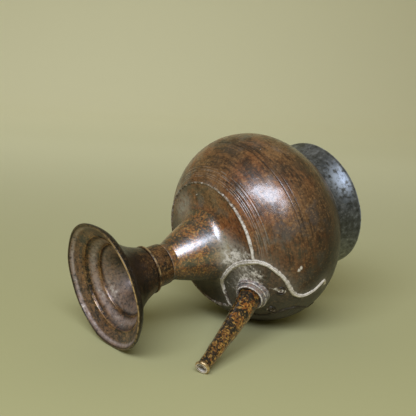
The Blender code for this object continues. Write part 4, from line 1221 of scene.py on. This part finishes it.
for piece in (body_upper, body_lower, neck):
    stations = read(piece, "station")
    around = read(piece, "turn")
    places = np.stack([SPOUT_STATION - stations, around * np.interp(stations, STATIONS, SHELL[:, 0])], 1)
    outside = np.ones(len(stations)) if piece is neck else read(piece, "skin")
    chalk, dull, soot = np.zeros((3, len(stations)))
    # Round the leaf: scale beside its line, smeared in its field and thick in the corner by the neck
    close = (np.abs(around) < LEAF_REACH_TURN) & (np.abs(places[:, 0]) < LEAF_REACH)
    near = places[close]
    to_leaf = gap_to(near, whole_leaf)
    to_spout = np.linalg.norm(near, axis=1)
    field = inside_leaf(near)
    thick = (1.7 + 2.6 * spot(near, -14, 19, 12, 13)) * MM
    beside_line = 0.62 * bell(to_leaf, 0, thick) * scale_share(near)
    smear = (0.45 * spot(near, -8, 12, 10, 10) + 0.34 * spot(near, 2, 18, 6, 5)
             + 0.3 * spot(near, -16, -6, 6, 9))
    smear = np.maximum(smear, 0.60 * bell(to_spout, 12.2 * MM, 1.5 * MM) * (near[:, 0] < 5 * MM))
    smear = np.maximum(smear, 0.72 * spot(near, 14.5, 11.3, 4.6, 1.3))
    knot = 0.52 * slanting_patch(near, 2, 24.5, 18, 5.5) + 0.16 * spot(near, -24, 19, 7, 10)
    chalk[close] = np.maximum(beside_line, np.where(field, smear, knot))
    soot[close] = field * (0.74 - 0.58 * spot(near, -11, 10, 9, 13))
    haze = 0.75 * spot(near, -25, 23, 8, 14) + 0.95 * slanting_patch(near, 1, 25.5, 17, 7)
    haze = np.maximum(haze, 0.75 * np.exp(-to_leaf / (3.5 * MM)) * scale_share(near))
    dull[close] = np.where(field, 0.12 + 0.72 * spot(near, -11, 9, 9, 14), haze)
    # Along the cord, and in flecks
    off_leaf = np.ones(len(stations), bool)
    off_leaf[close] = ~field
    by_cord = bell(stations, SHOULDER_STATION, 1.4 * MM) * (0.12 + 0.42 * bell(around, 0.7, 0.7))
    chalk = np.maximum(chalk, off_leaf * by_cord)
    for fleck in FLECKS:
        chalk = np.maximum(chalk, 0.9 * spot(places, *fleck))
    # The hollow round the neck: brown like the body, with a pale patch on the far side
    hollow = bell(stations, NECK_SEAM - 3 * MM, 8 * MM)
    pale = 0.15 * bell(np.abs(around), math.pi, 0.55) + 0.3 * bell(around, -1.6, 0.7)
    dull = np.maximum(dull, off_leaf * hollow * np.clip(0.65 * pale, 0, 0.65))
    dried = bell(places[:, 0], -13 * MM, 7 * MM) * np.exp(-(turn_from(around, 3.0) / 0.33) ** 4)
    dull = np.maximum(dull, 0.95 * dried)
    chalk = np.maximum(chalk, 0.18 * dried)
    paint(piece, "chalk", chalk * outside)
    paint(piece, "dull", dull * outside)
    paint(piece, "soot", soot * outside)


# Table and backdrop
# A plain pale sweep of painted board that the pot lies on. It runs flat under the pot and curves up behind.
# Its colour grows paler towards the back and up the curve, as painted light for a brighter backdrop.
SWEEP_COLOUR = (0.490, 0.468, 0.230)
SWEEP_PAINTED_LIGHT_BACK = (0.800, 0.793, 0.535)
SWEEP_PAINTED_LIGHT_RISE = (0.915, 0.905, 0.645)
SWEEP_HALF_WIDTH = 3.0
SWEEP_NEAR = -2.2
SWEEP_FAR = 1.5
SWEEP_BEND = 0.9
SWEEP_TOP = 2.2
VIEW_TURN = math.radians(-38.9)
AWAY = (-math.sin(VIEW_TURN), math.cos(VIEW_TURN), 0)
bend_turn = np.linspace(0, math.pi / 2, 24)
sweep_line = [(SWEEP_NEAR, 0.0)]
sweep_line += [(SWEEP_FAR + SWEEP_BEND * math.sin(a), SWEEP_BEND * (1 - math.cos(a))) for a in bend_turn]
sweep_line.append((SWEEP_FAR + SWEEP_BEND, SWEEP_TOP))
sweep_points = [(side * SWEEP_HALF_WIDTH, y, z) for y, z in sweep_line for side in (-1, 1)]
sweep_faces = [(2 * k, 2 * k + 1, 2 * k + 3, 2 * k + 2) for k in range(len(sweep_line) - 1)]
sweep_mesh = bpy.data.meshes.new("sweep")
sweep_mesh.from_pydata(sweep_points, [], sweep_faces)
sweep_mesh.transform(Matrix.Rotation(VIEW_TURN, 4, "Z"))
sweep_mesh.shade_smooth()
board = bpy.data.materials.new("painted_board")
board.use_nodes = True
board_tree = board.node_tree
board_shader = board_tree.nodes["Principled BSDF"]
board_place = wired(board_tree, "ShaderNodeTexCoord", output="Object")
board_back = wired(board_tree, "ShaderNodeVectorMath", {0: board_place, 1: AWAY}, "Value",
                   operation="DOT_PRODUCT")
# Painted light: the colour pales towards the back and again up the curve
board_flat = blend(rise(board_back, -0.14, 0.96), SWEEP_COLOUR, SWEEP_PAINTED_LIGHT_BACK)
board_colour = blend(rise(board_back, 1.00, 1.60), board_flat, SWEEP_PAINTED_LIGHT_RISE)
board_tree.links.new(board_colour.socket, board_shader.inputs["Base Color"])
board_shader.inputs["Roughness"].default_value = 0.8
board_shader.inputs["Specular IOR Level"].default_value = 0.2
sweep_mesh.materials.append(board)
sweep = placed("sweep", sweep_mesh)


# Light and camera
# Soft studio light: a wide softbox high behind the camera and one on the backdrop, in a plain warm room.
# The camera stands where the photograph was taken from.
LOOK_AT = Vector((-0.005, -0.01, 0.055))
BACKDROP_SPOT = Vector((0.58, 1.55, 0.05))
ROOM_COLOUR = (0.210, 0.183, 0.106)


def softbox(name, target, azimuth, elevation, distance, size, power, colour, spread=180):
    """A lamp of some size that faces a target from a direction in degrees."""
    lamp = bpy.data.lights.new(name, "AREA")
    lamp.shape = "RECTANGLE"
    lamp.size, lamp.size_y = size
    lamp.energy = power
    lamp.color = colour
    lamp.spread = math.radians(spread)
    holder = placed(name, lamp)
    turn = math.radians(azimuth)
    rise_angle = math.radians(elevation)
    away = Vector((math.sin(turn) * math.cos(rise_angle), -math.cos(turn) * math.cos(rise_angle),
                   math.sin(rise_angle)))
    holder.location = target + away * distance
    holder.rotation_euler = (-away).to_track_quat("-Z", "Y").to_euler()


softbox("key_softbox", LOOK_AT, azimuth=-48, elevation=42, distance=1.35, size=(1.20, 0.50), power=20.0,
        colour=(0.77, 0.84, 1.0))
softbox("backdrop_softbox", BACKDROP_SPOT, azimuth=-38.9, elevation=60, distance=1.3, size=(2.0, 0.8),
        power=4.4, colour=(0.90, 0.91, 0.94), spread=145)
world = bpy.data.worlds.new("pale_room")
bpy.context.scene.world = world
world.use_nodes = True
room = world.node_tree.nodes["Background"]
room.inputs["Color"].default_value = (*ROOM_COLOUR, 1)
room.inputs["Strength"].default_value = 1.0
camera = bpy.data.cameras.new("camera")
camera.sensor_width = 36.0
camera.lens = 65.516
camera_holder = placed("camera", camera)
camera_holder.location = (-0.33746, -0.40133, 0.19744)
camera_holder.rotation_euler = tuple(math.radians(a) for a in (77.9935, -3.2488, -38.4127))
bpy.context.scene.camera = camera_holder
bpy.context.scene.view_settings.view_transform = "Standard"
